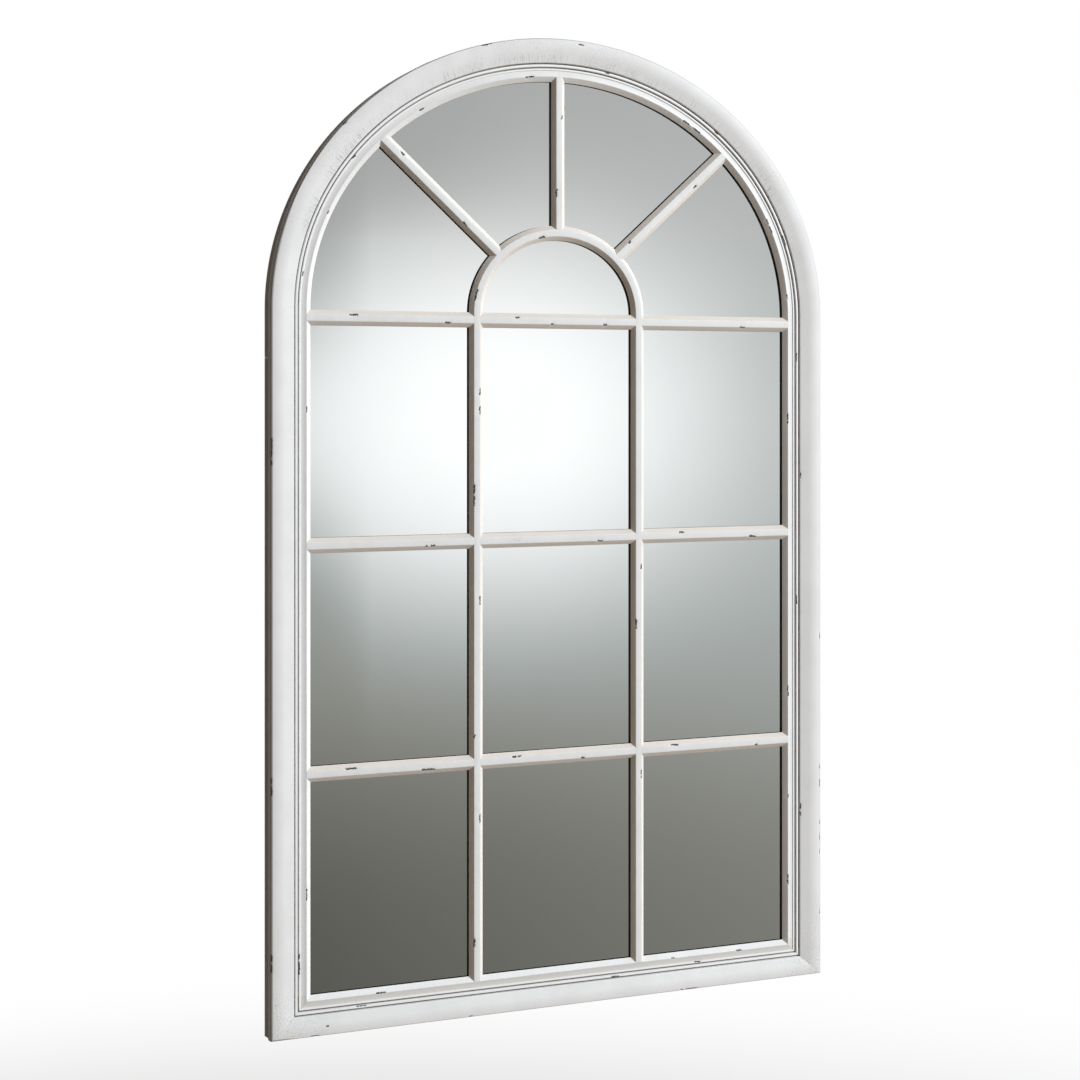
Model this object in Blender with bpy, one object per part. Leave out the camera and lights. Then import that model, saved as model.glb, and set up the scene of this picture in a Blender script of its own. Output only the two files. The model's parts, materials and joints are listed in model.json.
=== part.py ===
# Arched window frame mirror
# One mirror sheet sits behind a two layer timber frame, and glazing bars on its face divide
# it into nine panes, an inner arch and a sunburst. It hangs on two ring hangers.
# X is to the right, Z is up and the face looks along minus Y. The origin is at the height of
# the ring pivots, midway between them, on the back plane of the frame.

import math

import bmesh
import bpy
from mathutils import Vector

# Overall sizes, in metres
overall_width = 0.800
overall_height = 1.260
arch_rise = 0.358
clearance = 0.0003
overrun = 0.002

# Back frame
back_depth = 0.0170
back_setback = 0.0012
back_chamfer = 0.0012
rebate_width = 0.010
joint_lap = 0.060

# Moulding on the face, read from its outer edge inwards
face_width = 0.0555
face_slope = 0.0066
edge_height = 0.0282
edge_round = 0.0016
band_turn = 0.0170
band_turn_height = 0.0278
band_bulge = 0.0006
band_width = 0.0309
band_inner_height = 0.0251
groove_height = 0.0207
groove_width = 0.0010
groove_wall = 0.0009
middle_bead_width = 0.0042
middle_bead_top = 0.0235
inner_bead_width = 0.0032
inner_bead_top = 0.0220
fascia_fall = 0.0012
fascia_sag = 0.0003
rail_trim = 0.006

# Glazing bars
bar_height = 0.0052
bar_flat = 0.0086
bar_slope = 0.0054
bar_foot = 0.0003
inner_arch_rise = 0.105
spoke_angle = math.radians(41.2)

# Mirror sheet and its backing board
glass_thickness = 0.004
glass_side_clearance = 0.0015
board_thickness = 0.003

# Steel clips that hold the board, and where they stand
clip_width = 0.013
clip_sheet = 0.0012
clip_foot = 0.016
clip_tongue = 0.007
clip_screw_inset = 0.009
clip_stile_shares = (0.32, 0.77)
clip_rail_share = 0.4
clip_arch_angles = (math.radians(32), math.radians(90), math.radians(148))

# Ring hangers on the back stiles
hanger_drop = 0.077
strap_width = 0.014
strap_sheet = 0.0014
strap_curl = math.radians(275)
strap_screw_margin = 0.0012
strap_screw_pitch = 0.0135
strap_end_margin = 0.0065
ring_wire = 0.0015
ring_half_width = 0.00975
ring_leg = 0.005
ring_corner = 0.0025

# Pan head screws
screw_radius = 0.0017
screw_length = 0.0125
screw_point = 0.004
screw_head_radius = 0.0034
screw_head_height = 0.0021
screw_sides = 12

# Felt wall pads
pad_radius = 0.007
pad_thickness = 0.006
pad_round = 0.0008

# Facet counts
arch_steps = 48
inner_arch_steps = 32
curl_steps = 14
pad_sides = 24

# Sizes that follow from the ones above
half_width = overall_width / 2
springline_height = overall_height - arch_rise
seat = back_depth + clearance
bar_top = seat + bar_height
bar_width = bar_flat + 2 * bar_slope
bar_half = bar_width / 2
rebate_edge = face_width - rebate_width
sheet_edge = rebate_edge + glass_side_clearance
glass_back = back_depth - glass_thickness
board_front = glass_back - clearance
board_back = board_front - board_thickness
mitre_gap = clearance / math.sqrt(2)
sight_half = half_width - face_width
pane_width = (2 * sight_half - 2 * bar_width) / 3
upright_offset = pane_width / 2 + bar_half
springline_bar_height = springline_height - bar_half
foot_width = face_width - rail_trim
pane_height = (springline_bar_height - bar_half - foot_width - 2 * bar_width) / 3
upper_bar_height = springline_bar_height - bar_width - pane_height
lower_bar_height = upper_bar_height - bar_width - pane_height
back_middle = half_width - (back_setback + rebate_edge) / 2
ring_reach = ring_corner + ring_leg + ring_half_width + ring_wire
upper_drop = ring_reach + strap_screw_margin + screw_head_radius
lower_drop = upper_drop + strap_screw_pitch
strap_length = lower_drop + strap_end_margin
hanger_height = springline_height - hanger_drop
clip_stile_heights = [share * (hanger_height - strap_length) for share in clip_stile_shares]
clip_rail_offset = clip_rail_share * (half_width - rebate_edge)


# Collections and materials
for item in list(bpy.data.objects):
    bpy.data.objects.remove(item, do_unlink=True)

parts = bpy.data.collections.new("window_frame_mirror")
cutters = bpy.data.collections.new("cutters")
bpy.context.scene.collection.children.link(parts)
bpy.context.scene.collection.children.link(cutters)


def material(name, colour, roughness, metallic=0.0):
    made = bpy.data.materials.new(name)
    made.use_nodes = True
    shader = made.node_tree.nodes["Principled BSDF"]
    shader.inputs["Base Color"].default_value = (*colour, 1.0)
    shader.inputs["Roughness"].default_value = roughness
    shader.inputs["Metallic"].default_value = metallic
    return made


white_paint = material("white_paint", (0.72, 0.72, 0.70), 0.55)
bar_paint = material("bar_paint", (0.74, 0.74, 0.72), 0.55)
stained_timber = material("stained_timber", (0.16, 0.12, 0.09), 0.65)
silvered_glass = material("silvered_glass", (0.90, 0.92, 0.92), 0.03, 1.0)
brown_board = material("brown_board", (0.34, 0.24, 0.15), 0.80)
zinc_steel = material("zinc_steel", (0.62, 0.62, 0.60), 0.35, 1.0)
grey_felt = material("grey_felt", (0.22, 0.22, 0.22), 0.95)


def link(name, data, paint, where=(0, 0, 0)):
    made = bpy.data.objects.new(name, data)
    made.location = where
    parts.objects.link(made)
    data.materials.append(paint)
    return made


def finish(bm, name):
    bmesh.ops.remove_doubles(bm, verts=bm.verts, dist=1e-6)
    bmesh.ops.recalc_face_normals(bm, faces=bm.faces)
    data = bpy.data.meshes.new(name)
    bm.to_mesh(data)
    bm.free()
    return data


def raised(point):
    # Heights are measured from the foot of the frame, and the origin is at the hangers
    return Vector((point[0], point[1], point[2] - hanger_height))


# Sweep: a closed section is extruded from one station of the path to the next
def sweep_mesh(name, section, stations, fold=None):
    bm = bmesh.new()
    order = bm.verts.layers.int.new("order")
    ring = [bm.verts.new(raised(stations[0](*point))) for point in section]
    for index, vert in enumerate(ring):
        vert[order] = index
    face = start = bm.faces.new(ring)
    for station in stations[1:]:
        made = bmesh.ops.extrude_face_region(bm, geom=[face])["geom"]
        if face is not start:
            bmesh.ops.delete(bm, geom=[face], context="FACES_ONLY")
        face = [item for item in made if isinstance(item, bmesh.types.BMFace)][0]
        for vert in face.verts:
            vert.co = raised(station(*section[vert[order]]))
    if fold:
        # A coped end folds along the line between two points of the section
        for cap in (start, face):
            ends = [vert for vert in cap.verts if vert[order] in fold]
            bmesh.ops.connect_verts(bm, verts=ends)
    return finish(bm, name)


def sweep(name, section, stations, paint, fold=None):
    return link(name, sweep_mesh(name, section, stations, fold), paint)


def cutter(name, data):
    made = bpy.data.objects.new(name, data)
    made.hide_render = True
    made.display_type = "WIRE"
    cutters.objects.link(made)
    return made


def cut(part, tool):
    made = part.modifiers.new(tool.name, "BOOLEAN")
    made.operation = "DIFFERENCE"
    made.solver = "EXACT"
    made.object = tool


def smooth(part, angle=math.radians(35)):
    bm = bmesh.new()
    bm.from_mesh(part.data)
    for face in bm.faces:
        face.smooth = True
    for edge in bm.edges:
        if len(edge.link_faces) == 2 and edge.calc_face_angle() > angle:
            edge.smooth = False
    bm.to_mesh(part.data)
    bm.free()


# Stations: each one maps a point of the section, its distance in from the outer edge and
# its height above the back plane, to a place on the frame
def stile_station(side, height):
    return lambda inset, rise: (side * (half_width - inset), -rise, height)


def up_from_foot(inset):
    # The broad band of the bottom rail is narrower than that of the stiles and the arch
    return inset - rail_trim * min(inset / band_width, 1)


def stile_mitre(side):
    return lambda inset, rise: (side * (half_width - inset), -rise,
                                up_from_foot(inset) + mitre_gap)


def rail_mitre(side):
    return lambda inset, rise: (side * (half_width - inset - mitre_gap), -rise,
                                up_from_foot(inset))


def rail_station(across):
    return lambda inset, rise: (across, -rise, up_from_foot(inset))


def arch_place(angle, inset):
    across = math.cos(angle)
    up = math.sin(angle)
    normal = Vector((arch_rise * across, half_width * up)).normalized()
    return (half_width * across - inset * normal.x,
            springline_height + arch_rise * up - inset * normal.y)


def arch_station(angle):
    def place(inset, rise):
        across, height = arch_place(angle, inset)
        return (across, -rise, height)
    return place


def between(low, high, count):
    return [low + (high - low) * step / count for step in range(count + 1)]


# Section of the face moulding: rounded band, two grooves with a bead between, a low bead,
# the fascia and the slope
def bulged(start, end, bulge, count):
    points = []
    for step in range(1, count + 1):
        share = step / count
        lift = 4 * bulge * share * (1 - share)
        points.append((start[0] + (end[0] - start[0]) * share,
                       start[1] + (end[1] - start[1]) * share + lift))
    return points


def falling(start, end_height, count=3):
    points = []
    for step in range(1, count + 1):
        turn = math.pi / 2 * step / count
        points.append((start[0] + groove_wall * math.sin(turn),
                       end_height + (start[1] - end_height) * math.cos(turn)))
    return points


def bead(start, width, top, end_height, count=3):
    points = []
    for step in range(1, count + 1):
        turn = math.pi / 2 * step / count
        points.append((start[0] + groove_wall * (1 - math.cos(turn)),
                       start[1] + (top - start[1]) * math.sin(turn)))
    points.append((start[0] + width - groove_wall, top))
    return points + falling(points[-1], end_height, count)


def moulding_section():
    points = [(0, seat), (0, edge_height - edge_round)]
    for step in range(1, 4):
        turn = math.pi / 2 * step / 3
        points.append((edge_round * (1 - math.cos(turn)),
                       edge_height - edge_round * (1 - math.sin(turn))))
    points += bulged(points[-1], (band_turn, band_turn_height), band_bulge, 6)
    points.append((band_width, band_inner_height))
    points += falling(points[-1], groove_height)
    points.append((points[-1][0] + groove_width, groove_height))
    points += bead(points[-1], middle_bead_width, middle_bead_top, groove_height)
    points.append((points[-1][0] + groove_width, groove_height))
    points += bead(points[-1], inner_bead_width, inner_bead_top, bar_top - fascia_fall)
    points += bulged(points[-1], (face_width - face_slope, bar_top), -fascia_sag, 4)
    points.append((face_width, seat + bar_foot))
    points.append((face_width, seat))
    points.append((band_width, seat))
    return points


moulding = moulding_section()
# The mitred ends bend in plan where the band ends, so they fold there
mitre_fold = (moulding.index((band_width, band_inner_height)), len(moulding) - 1)

# Face frame: two stiles and a bottom rail, mitred, and the arch in two quarters
for side, hand in ((-1, "left"), (1, "right")):
    part = sweep("face_stile_" + hand, moulding,
                 [stile_mitre(side), stile_station(side, springline_height - clearance)],
                 white_paint, mitre_fold)
    smooth(part)
part = sweep("face_rail_bottom", moulding, [rail_mitre(-1), rail_mitre(1)], white_paint,
             mitre_fold)
smooth(part)

crown_gap = clearance / 2 / half_width
for hand, start, end in (("right", 0, math.pi / 2 - crown_gap),
                         ("left", math.pi / 2 + crown_gap, math.pi)):
    stations = [arch_station(angle) for angle in between(start, end, arch_steps // 2)]
    part = sweep("face_arch_" + hand, moulding, stations, white_paint)
    smooth(part)

# Back frame: stiles run to the foot, the rail stands between them, and the arch is in
# three lengths whose joints lap the joints of the face frame
back_section = [
    (back_setback + back_chamfer, 0),
    (back_setback, back_chamfer),
    (back_setback, back_depth),
    (rebate_edge, back_depth),
    (rebate_edge, 0),
]
back_foot = back_setback
back_joint_height = springline_height - joint_lap
back_pieces = {}
for side, hand in ((-1, "left"), (1, "right")):
    back_pieces["stile_" + hand] = sweep(
        "back_stile_" + hand, back_section,
        [stile_station(side, back_foot), stile_station(side, back_joint_height - clearance)],
        stained_timber)
rail_reach = half_width - rebate_edge - clearance
back_pieces["rail"] = sweep("back_rail_bottom", back_section,
                            [rail_station(-rail_reach), rail_station(rail_reach)],
                            stained_timber)

arch_third = math.pi / 3
third_gap = clearance / 2 / half_width
legs = {
    "right": [stile_station(1, back_joint_height)]
             + [arch_station(angle) for angle in between(0, arch_third - third_gap, arch_steps // 3)],
    "crown": [arch_station(angle) for angle in
              between(arch_third + third_gap, 2 * arch_third - third_gap, arch_steps // 3)],
    "left": [arch_station(angle) for angle in
             between(2 * arch_third + third_gap, math.pi, arch_steps // 3)]
            + [stile_station(-1, back_joint_height)],
}
for hand, stations in legs.items():
    back_pieces["arch_" + hand] = sweep("back_arch_" + hand, back_section, stations,
                                        stained_timber)
    smooth(back_pieces["arch_" + hand])

# Mirror sheet and backing board, cut to the rebate
def sheet_outline(inset):
    foot = up_from_foot(inset)
    places = [(half_width - inset, foot), (half_width - inset, springline_height)]
    places += [arch_place(angle, inset) for angle in between(0, math.pi, arch_steps)][1:-1]
    places += [(inset - half_width, springline_height), (inset - half_width, foot)]
    return places


def sheet(name, inset, back, front, paint):
    section = sheet_outline(inset)
    stations = [lambda across, height: (across, -back, height),
                lambda across, height: (across, -front, height)]
    return sweep(name, section, stations, paint)


smooth(sheet("mirror_glass", sheet_edge, glass_back, back_depth, silvered_glass))
smooth(sheet("backing_board", sheet_edge, board_back, board_front, brown_board))

# Section of the glazing bars, from side to side: a flat top between two slopes
bar_section = [
    (-bar_half, seat),
    (-bar_half, seat + bar_foot),
    (-bar_flat / 2, bar_top),
    (bar_flat / 2, bar_top),
    (bar_half, seat + bar_foot),
    (bar_half, seat),
]


# Coped ends: a bar that meets another bar, or the slope of the frame, is cut to its section
def upright_station(across, height, reach=0):
    return lambda aside, rise: (across + aside, -rise, height + reach * abs(aside))


def level_station(across, height, reach=0):
    return lambda aside, rise: (across + reach * abs(aside), -rise, height + aside)


bar_fold = (1, 4)
face_cope = face_slope / bar_slope
for side, hand in ((-1, "left"), (1, "right")):
    across = side * upright_offset
    sweep("upright_bar_" + hand, bar_section,
          [upright_station(across, foot_width + clearance - face_cope * bar_half, face_cope),
           upright_station(across, springline_height)], bar_paint, bar_fold)

rows = (("springline", springline_bar_height),
        ("upper", upper_bar_height),
        ("lower", lower_bar_height))
frame_end = sight_half - clearance + face_cope * bar_half
bar_end = upright_offset + clearance
centre_end = upright_offset - clearance
for row, height in rows:
    for hand, start, start_cope, end, end_cope in (
            ("left", -frame_end, face_cope, -bar_end, 1),
            ("centre", -centre_end, 1, centre_end, 1),
            ("right", bar_end, 1, frame_end, face_cope)):
        sweep(row + "_bar_" + hand, bar_section,
              [level_station(start, height, start_cope), level_station(end, height, -end_cope)],
              bar_paint, bar_fold)

# Inner arch, which stands on the two uprights
def inner_arch_station(angle, foot=0):
    across = math.cos(angle)
    up = math.sin(angle)
    normal = Vector((inner_arch_rise * across, upright_offset * up)).normalized()

    def place(aside, rise):
        return (upright_offset * across + aside * normal.x, -rise,
                springline_height + foot + inner_arch_rise * up + aside * normal.y)
    return place


turns = between(0, math.pi, inner_arch_steps)
part = sweep("inner_arch_bar", bar_section,
             [inner_arch_station(angle, clearance) for angle in turns], bar_paint)
smooth(part)

# Three spokes of the sunburst, coped to the inner arch and to the slope of the frame
wide = bar_half + clearance
narrow = bar_flat / 2 + clearance
inner_tool_section = [
    (-wide, seat - overrun),
    (-wide, seat + bar_foot),
    (-narrow, bar_top),
    (-narrow, bar_top + overrun),
    (narrow, bar_top + overrun),
    (narrow, bar_top),
    (wide, seat + bar_foot),
    (wide, seat - overrun),
]
cope_angles = between(math.pi / 9, math.pi * 8 / 9, arch_steps)
inner_tool = cutter("inner_arch_cope", sweep_mesh(
    "inner_arch_cope", inner_tool_section,
    [inner_arch_station(angle, clearance) for angle in turns[2:-2]]))
frame_tool_section = [
    (band_width, seat - overrun),
    (face_width + clearance, seat - overrun),
    (face_width + clearance, seat + bar_foot),
    (face_width - face_slope + clearance, bar_top),
    (face_width - face_slope + clearance, bar_top + overrun),
    (band_width, bar_top + overrun),
]
frame_tool = cutter("frame_cope", sweep_mesh(
    "frame_cope", frame_tool_section, [arch_station(angle) for angle in cope_angles]))


def spoke_station(angle, reach):
    along = (math.cos(angle), math.sin(angle))

    def place(aside, rise):
        return (along[0] * reach - along[1] * aside, -rise,
                springline_height + along[1] * reach + along[0] * aside)
    return place


def ellipse_reach(angle, across, up):
    return 1 / math.hypot(math.cos(angle) / across, math.sin(angle) / up)


for name, angle in (("spoke_right", spoke_angle),
                    ("spoke_centre", math.pi / 2),
                    ("spoke_left", math.pi - spoke_angle)):
    start = ellipse_reach(angle, upright_offset, inner_arch_rise)
    inset = face_width - face_slope - bar_half
    end = ellipse_reach(angle, half_width - inset, arch_rise - inset)
    part = sweep(name, bar_section,
                 [spoke_station(angle, start), spoke_station(angle, end)], bar_paint)
    cut(part, inner_tool)
    cut(part, frame_tool)

# Screws are turned about the axis that they are driven along
def turned_mesh(name, outline, centre, axis, sides):
    # Each point of the outline is a distance out from the axis and a distance along it
    axis = Vector(axis).normalized()
    out = axis.orthogonal().normalized()
    base = raised(centre)
    bm = bmesh.new()
    verts = [bm.verts.new(base + out * away + axis * along) for away, along in outline]
    edges = [bm.edges.new(pair) for pair in zip(verts[:-1], verts[1:])]
    bmesh.ops.spin(bm, geom=verts + edges, cent=base, axis=axis, angle=2 * math.pi,
                   steps=sides, use_merge=True)
    return finish(bm, name)


screw_outline = [
    (0, screw_head_height),
    (screw_head_radius * 0.55, screw_head_height * 0.92),
    (screw_head_radius * 0.9, screw_head_height * 0.6),
    (screw_head_radius, 0),
    (screw_radius, 0),
    (screw_radius, screw_point - screw_length),
    (0, -screw_length),
]
hole_radius = screw_radius + clearance


def hole_outline(top, bottom):
    return [(0, top), (hole_radius, top), (hole_radius, bottom), (0, bottom)]


def drill(holes, name, piece):
    # One tool holds every hole of the piece that it cuts
    bm = bmesh.new()
    for centre, top, bottom in holes:
        data = turned_mesh(name, hole_outline(top, bottom), centre, (0, 1, 0), screw_sides)
        bm.from_mesh(data)
        bpy.data.meshes.remove(data)
    data = bpy.data.meshes.new(name)
    bm.to_mesh(data)
    bm.free()
    cut(piece, cutter(name, data))


def screw(name, centre):
    data = turned_mesh(name, screw_outline, centre, (0, 1, 0), screw_sides)
    part = link(name, data, zinc_steel)
    smooth(part)


# Clips: an offset strip, screwed to the back frame, whose tongue holds the board in
clip_top = clearance + clip_sheet
tongue_back = board_back - clearance
clip_leg = rebate_edge + clearance
clip_section = [
    (clip_leg + clip_sheet - clip_foot, clearance),
    (clip_leg, clearance),
    (clip_leg, -tongue_back),
    (sheet_edge + clip_tongue, -tongue_back),
    (sheet_edge + clip_tongue, clip_sheet - tongue_back),
    (clip_leg + clip_sheet, clip_sheet - tongue_back),
    (clip_leg + clip_sheet, clip_top),
    (clip_leg + clip_sheet - clip_foot, clip_top),
]
screw_inset = clip_leg + clip_sheet - clip_screw_inset
back_holes = {}


def clip(name, place, along, piece):
    # place gives the point of the frame at a distance in from its outer edge
    def station(shift):
        def put(inset, back):
            across, height = place(inset)
            return (across + along[0] * shift, back, height + along[1] * shift)
        return put

    part = sweep(name, clip_section, [station(-clip_width / 2), station(clip_width / 2)],
                 zinc_steel)
    across, height = place(screw_inset)
    seat_point = (across, clip_top + clearance, height)
    screw(name.replace("clip", "clip_screw"), seat_point)
    drill([(seat_point, 0, -clip_sheet - 3 * clearance)], name + "_hole", part)
    back_holes.setdefault(piece, []).append(
        (seat_point, 0, -screw_length - clearance))


for side, hand in ((-1, "left"), (1, "right")):
    for height, level in zip(clip_stile_heights, ("lower", "upper")):
        clip("clip_" + level + "_" + hand,
             lambda inset, side=side, height=height: (side * (half_width - inset), height),
             (0, 1), "stile_" + hand)
    clip("clip_foot_" + hand,
         lambda inset, side=side: (side * clip_rail_offset, up_from_foot(inset)), (1, 0),
         "rail")
for angle, hand in zip(clip_arch_angles, ("right", "crown", "left")):
    slope = Vector((-half_width * math.sin(angle), arch_rise * math.cos(angle))).normalized()
    clip("clip_arch_" + hand, lambda inset, angle=angle: arch_place(angle, inset),
         (slope.x, slope.y), "arch_" + hand)

# Ring hangers: a strap rolled into an eye at its top, and a wire ring that swings in it
eye_inner = ring_wire + clearance
eye_outer = eye_inner + strap_sheet
eye_back = clearance + eye_outer


def strap_section():
    # Distance behind the back plane, and height above the pivot
    points = [(clearance, -strap_length), (clearance + strap_sheet, -strap_length)]
    for step in range(curl_steps + 1):
        turn = strap_curl * step / curl_steps
        points.append((eye_back - eye_inner * math.cos(turn), eye_inner * math.sin(turn)))
    for step in range(curl_steps, -1, -1):
        turn = strap_curl * step / curl_steps
        points.append((eye_back - eye_outer * math.cos(turn), eye_outer * math.sin(turn)))
    return points


def ring_path():
    points = []
    for step in range(4):
        turn = math.pi / 2 * step / 3
        points.append((ring_half_width - ring_corner * (1 - math.sin(turn)),
                       ring_corner * (math.cos(turn) - 1)))
    for step in range(13):
        turn = math.pi * step / 12
        points.append((ring_half_width * math.cos(turn),
                       -ring_corner - ring_leg - ring_half_width * math.sin(turn)))
    for step in range(4):
        turn = math.pi / 2 * step / 3
        points.append((-ring_half_width + ring_corner * (1 - math.cos(turn)),
                       ring_corner * (math.sin(turn) - 1)))
    return points


for side, hand in ((-1, "left"), (1, "right")):
    middle = side * back_middle
    place = [lambda back, up, edge=edge: (middle + edge, back, hanger_height + up)
             for edge in (-strap_width / 2, strap_width / 2)]
    strap = sweep("hanger_strap_" + hand, strap_section(), place, zinc_steel)
    smooth(strap)
    holes = []
    for drop, level in ((upper_drop, "upper"), (lower_drop, "lower")):
        seat_point = (middle, clearance + strap_sheet + clearance, hanger_height - drop)
        screw("hanger_screw_" + level + "_" + hand, seat_point)
        holes.append((seat_point, 0, -strap_sheet - 3 * clearance))
        back_holes["stile_" + hand].append((seat_point, 0, -screw_length - clearance))
    drill(holes, "hanger_strap_holes_" + hand, strap)

    wire = bpy.data.curves.new("hanger_ring_" + hand, "CURVE")
    wire.dimensions = "3D"
    wire.bevel_depth = ring_wire
    wire.bevel_resolution = 2
    spline = wire.splines.new("POLY")
    path = ring_path()
    spline.points.add(len(path) - 1)
    for point, (across, up) in zip(spline.points, path):
        point.co = (across, 0, up, 1)
    spline.use_cyclic_u = True
    spline.use_smooth = True
    link("hanger_ring_" + hand, wire, zinc_steel,
         raised((middle, eye_back, hanger_height)))

# Pilot holes in the back frame
for piece, holes in back_holes.items():
    drill(holes, piece + "_pilot_holes", back_pieces[piece])

# Wall pads at the foot
pad_outline = [
    (0, 0),
    (pad_radius, 0),
    (pad_radius, pad_thickness - pad_round),
    (pad_radius - pad_round, pad_thickness),
    (0, pad_thickness),
]
for side, hand in ((-1, "left"), (1, "right")):
    centre = (side * back_middle, clearance, half_width - back_middle)
    data = turned_mesh("wall_pad_" + hand, pad_outline, centre, (0, 1, 0), pad_sides)
    smooth(link("wall_pad_" + hand, data, grey_felt))

print("parts:", len(parts.objects))
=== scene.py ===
# %% [markdown]
# # Window frame mirror
#
# This wall mirror looks like an old arched garden window. A moulded frame, painted white and
# rubbed back, goes round one sheet of mirror glass, and glazing bars lie on the glass and
# divide it into panes. The CAD model gives every part its place and size. This lesson adds
# what a camera sees: eased edges, crazed and chipped paint, silvering behind clear glass,
# sawn timber, fibre board and zinc plated steel.

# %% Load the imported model
import json
import math

import bmesh
import bpy
import numpy as np
from mathutils import Euler, Matrix, Vector, noise

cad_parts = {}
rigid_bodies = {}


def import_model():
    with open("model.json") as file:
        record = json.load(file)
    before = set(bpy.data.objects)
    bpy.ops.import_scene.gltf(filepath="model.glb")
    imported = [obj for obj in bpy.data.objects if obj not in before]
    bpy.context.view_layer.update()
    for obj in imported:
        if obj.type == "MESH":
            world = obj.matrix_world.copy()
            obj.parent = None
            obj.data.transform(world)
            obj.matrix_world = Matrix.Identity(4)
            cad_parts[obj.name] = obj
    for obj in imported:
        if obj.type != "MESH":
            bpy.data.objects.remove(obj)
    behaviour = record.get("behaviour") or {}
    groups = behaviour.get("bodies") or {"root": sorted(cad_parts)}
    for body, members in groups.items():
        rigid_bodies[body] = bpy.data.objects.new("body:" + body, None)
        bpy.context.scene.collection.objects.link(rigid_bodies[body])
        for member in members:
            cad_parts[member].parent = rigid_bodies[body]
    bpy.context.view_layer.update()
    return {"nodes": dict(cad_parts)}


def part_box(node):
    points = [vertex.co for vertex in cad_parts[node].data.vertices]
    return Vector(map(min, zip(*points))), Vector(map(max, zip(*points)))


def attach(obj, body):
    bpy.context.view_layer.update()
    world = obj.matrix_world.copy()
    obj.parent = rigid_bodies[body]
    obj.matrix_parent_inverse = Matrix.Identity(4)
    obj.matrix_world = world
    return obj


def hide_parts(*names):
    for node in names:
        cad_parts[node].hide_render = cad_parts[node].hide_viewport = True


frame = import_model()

# %% [markdown]
# ## Sizes
#
# A piece that is modelled again has to lie exactly on the CAD part that it stands for. So the
# main sizes are read from the boxes of the CAD nodes. Only the steps of the moulding are
# written here, because a box can't tell them. X is to the right, Z is up, and the face looks
# along minus Y, so the height of a point above the back plane is minus its Y. The camera's
# values stand here too, because the chips are placed through its view.

# %% Sizes
half_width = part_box("face_stile_right")[1].x
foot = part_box("face_rail_bottom")[0].z
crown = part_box("face_arch_left")[1].z
joint_gap = 0.0003
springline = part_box("face_stile_right")[1].z + joint_gap
arch_rise = crown - springline
seat = -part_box("face_stile_right")[1].y
bar_low, bar_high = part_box("upper_bar_left")
bar_top = -bar_low.y
bar_half = (bar_high.z - bar_low.z) / 2
bar_foot = 0.0003
bar_flat = 0.0086
face_width = 0.0555
face_slope = 0.0066
band_width = 0.0309
rail_trim = 0.006
sight_half = half_width - face_width
face_cope = face_slope / (bar_half - bar_flat / 2)


def middle(node, axis):
    low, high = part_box(node)
    return (low[axis] + high[axis]) / 2


upright_offset = middle("upright_bar_right", 0)
row_heights = {row: middle(row + "_bar_left", 2) for row in ("springline", "upper", "lower")}
inner_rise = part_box("inner_arch_bar")[1].z - springline - bar_half
spoke_angle = math.radians(41.2)
photo_side = 1080
film_width = 36
camera_lens = 79.7615
lens_shift = -0.131632
camera_place = Vector((-1.408248, -2.811340, -0.032851))
camera_aim = Euler((math.pi / 2, 0, math.radians(-26.326)))
print("half width", round(half_width, 4), "arch rise", round(arch_rise, 4),
      "bar half", round(bar_half, 4), "inner rise", round(inner_rise, 4))

# %% [markdown]
# ## Node graphs written as expressions
#
# Materials and Geometry Nodes trees are both graphs of nodes. Adding each node by hand hides
# the formula that it stands for. Here one small class wraps the output of a node, and an
# expression such as `1 - mask * 2` adds the Math nodes by itself. Every other node comes from
# one method, which takes the node's type, its settings, and the values or links of its
# sockets.

# %% Values and graphs
class Value:
    """The output socket of a node. Arithmetic on it adds Math nodes to its graph."""

    def __init__(self, graph, socket):
        self.graph = graph
        self.socket = socket

    def __add__(self, other):
        return self.graph.maths("ADD", self, other)

    def __sub__(self, other):
        return self.graph.maths("SUBTRACT", self, other)

    def __rsub__(self, other):
        return self.graph.maths("SUBTRACT", other, self)

    def __mul__(self, other):
        return self.graph.maths("MULTIPLY", self, other)

    def __truediv__(self, other):
        return self.graph.maths("DIVIDE", self, other)

    def __pow__(self, other):
        return self.graph.maths("POWER", self, other)

    def __neg__(self):
        return self.graph.maths("MULTIPLY", self, -1)

    __radd__ = __add__
    __rmul__ = __mul__


class Graph:
    """A node tree whose nodes are added by one method."""

    def __init__(self, tree):
        self.tree = tree

    def node(self, kind, settings=None, inputs=None, output=0):
        made = self.tree.nodes.new(kind)
        for name, value in (settings or {}).items():
            if name == "stops":
                self.set_stops(made.color_ramp, value)
            else:
                setattr(made, name, value)
        for name, value in (inputs or {}).items():
            if isinstance(value, Value):
                self.tree.links.new(value.socket, made.inputs[name])
            else:
                made.inputs[name].default_value = value
        return Value(self, made.outputs[output]) if made.outputs else None

    def set_stops(self, ramp, stops):
        while len(ramp.elements) < len(stops):
            ramp.elements.new(1)
        for element, (position, colour) in zip(ramp.elements, stops):
            element.position = position
            element.color = (*colour, 1)

    def maths(self, operation, *values):
        return self.node("ShaderNodeMath", {"operation": operation}, dict(enumerate(values)))

    def low(self, first, second):
        return self.maths("MINIMUM", first, second)

    def high(self, first, second):
        return self.maths("MAXIMUM", first, second)

    def size(self, value):
        return self.maths("ABSOLUTE", value)

    def rise(self, value, start, end):
        """0 below start, 1 above end, and a smooth step between them."""
        return self.node("ShaderNodeMapRange", {"interpolation_type": "SMOOTHSTEP"},
                         {"Value": value, "From Min": start, "From Max": end})

    def near(self, value, place, reach):
        """1 where the value is at a place, and 0 further from it than the reach."""
        return 1 - self.rise(self.size(value - place), 0, reach)


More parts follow.
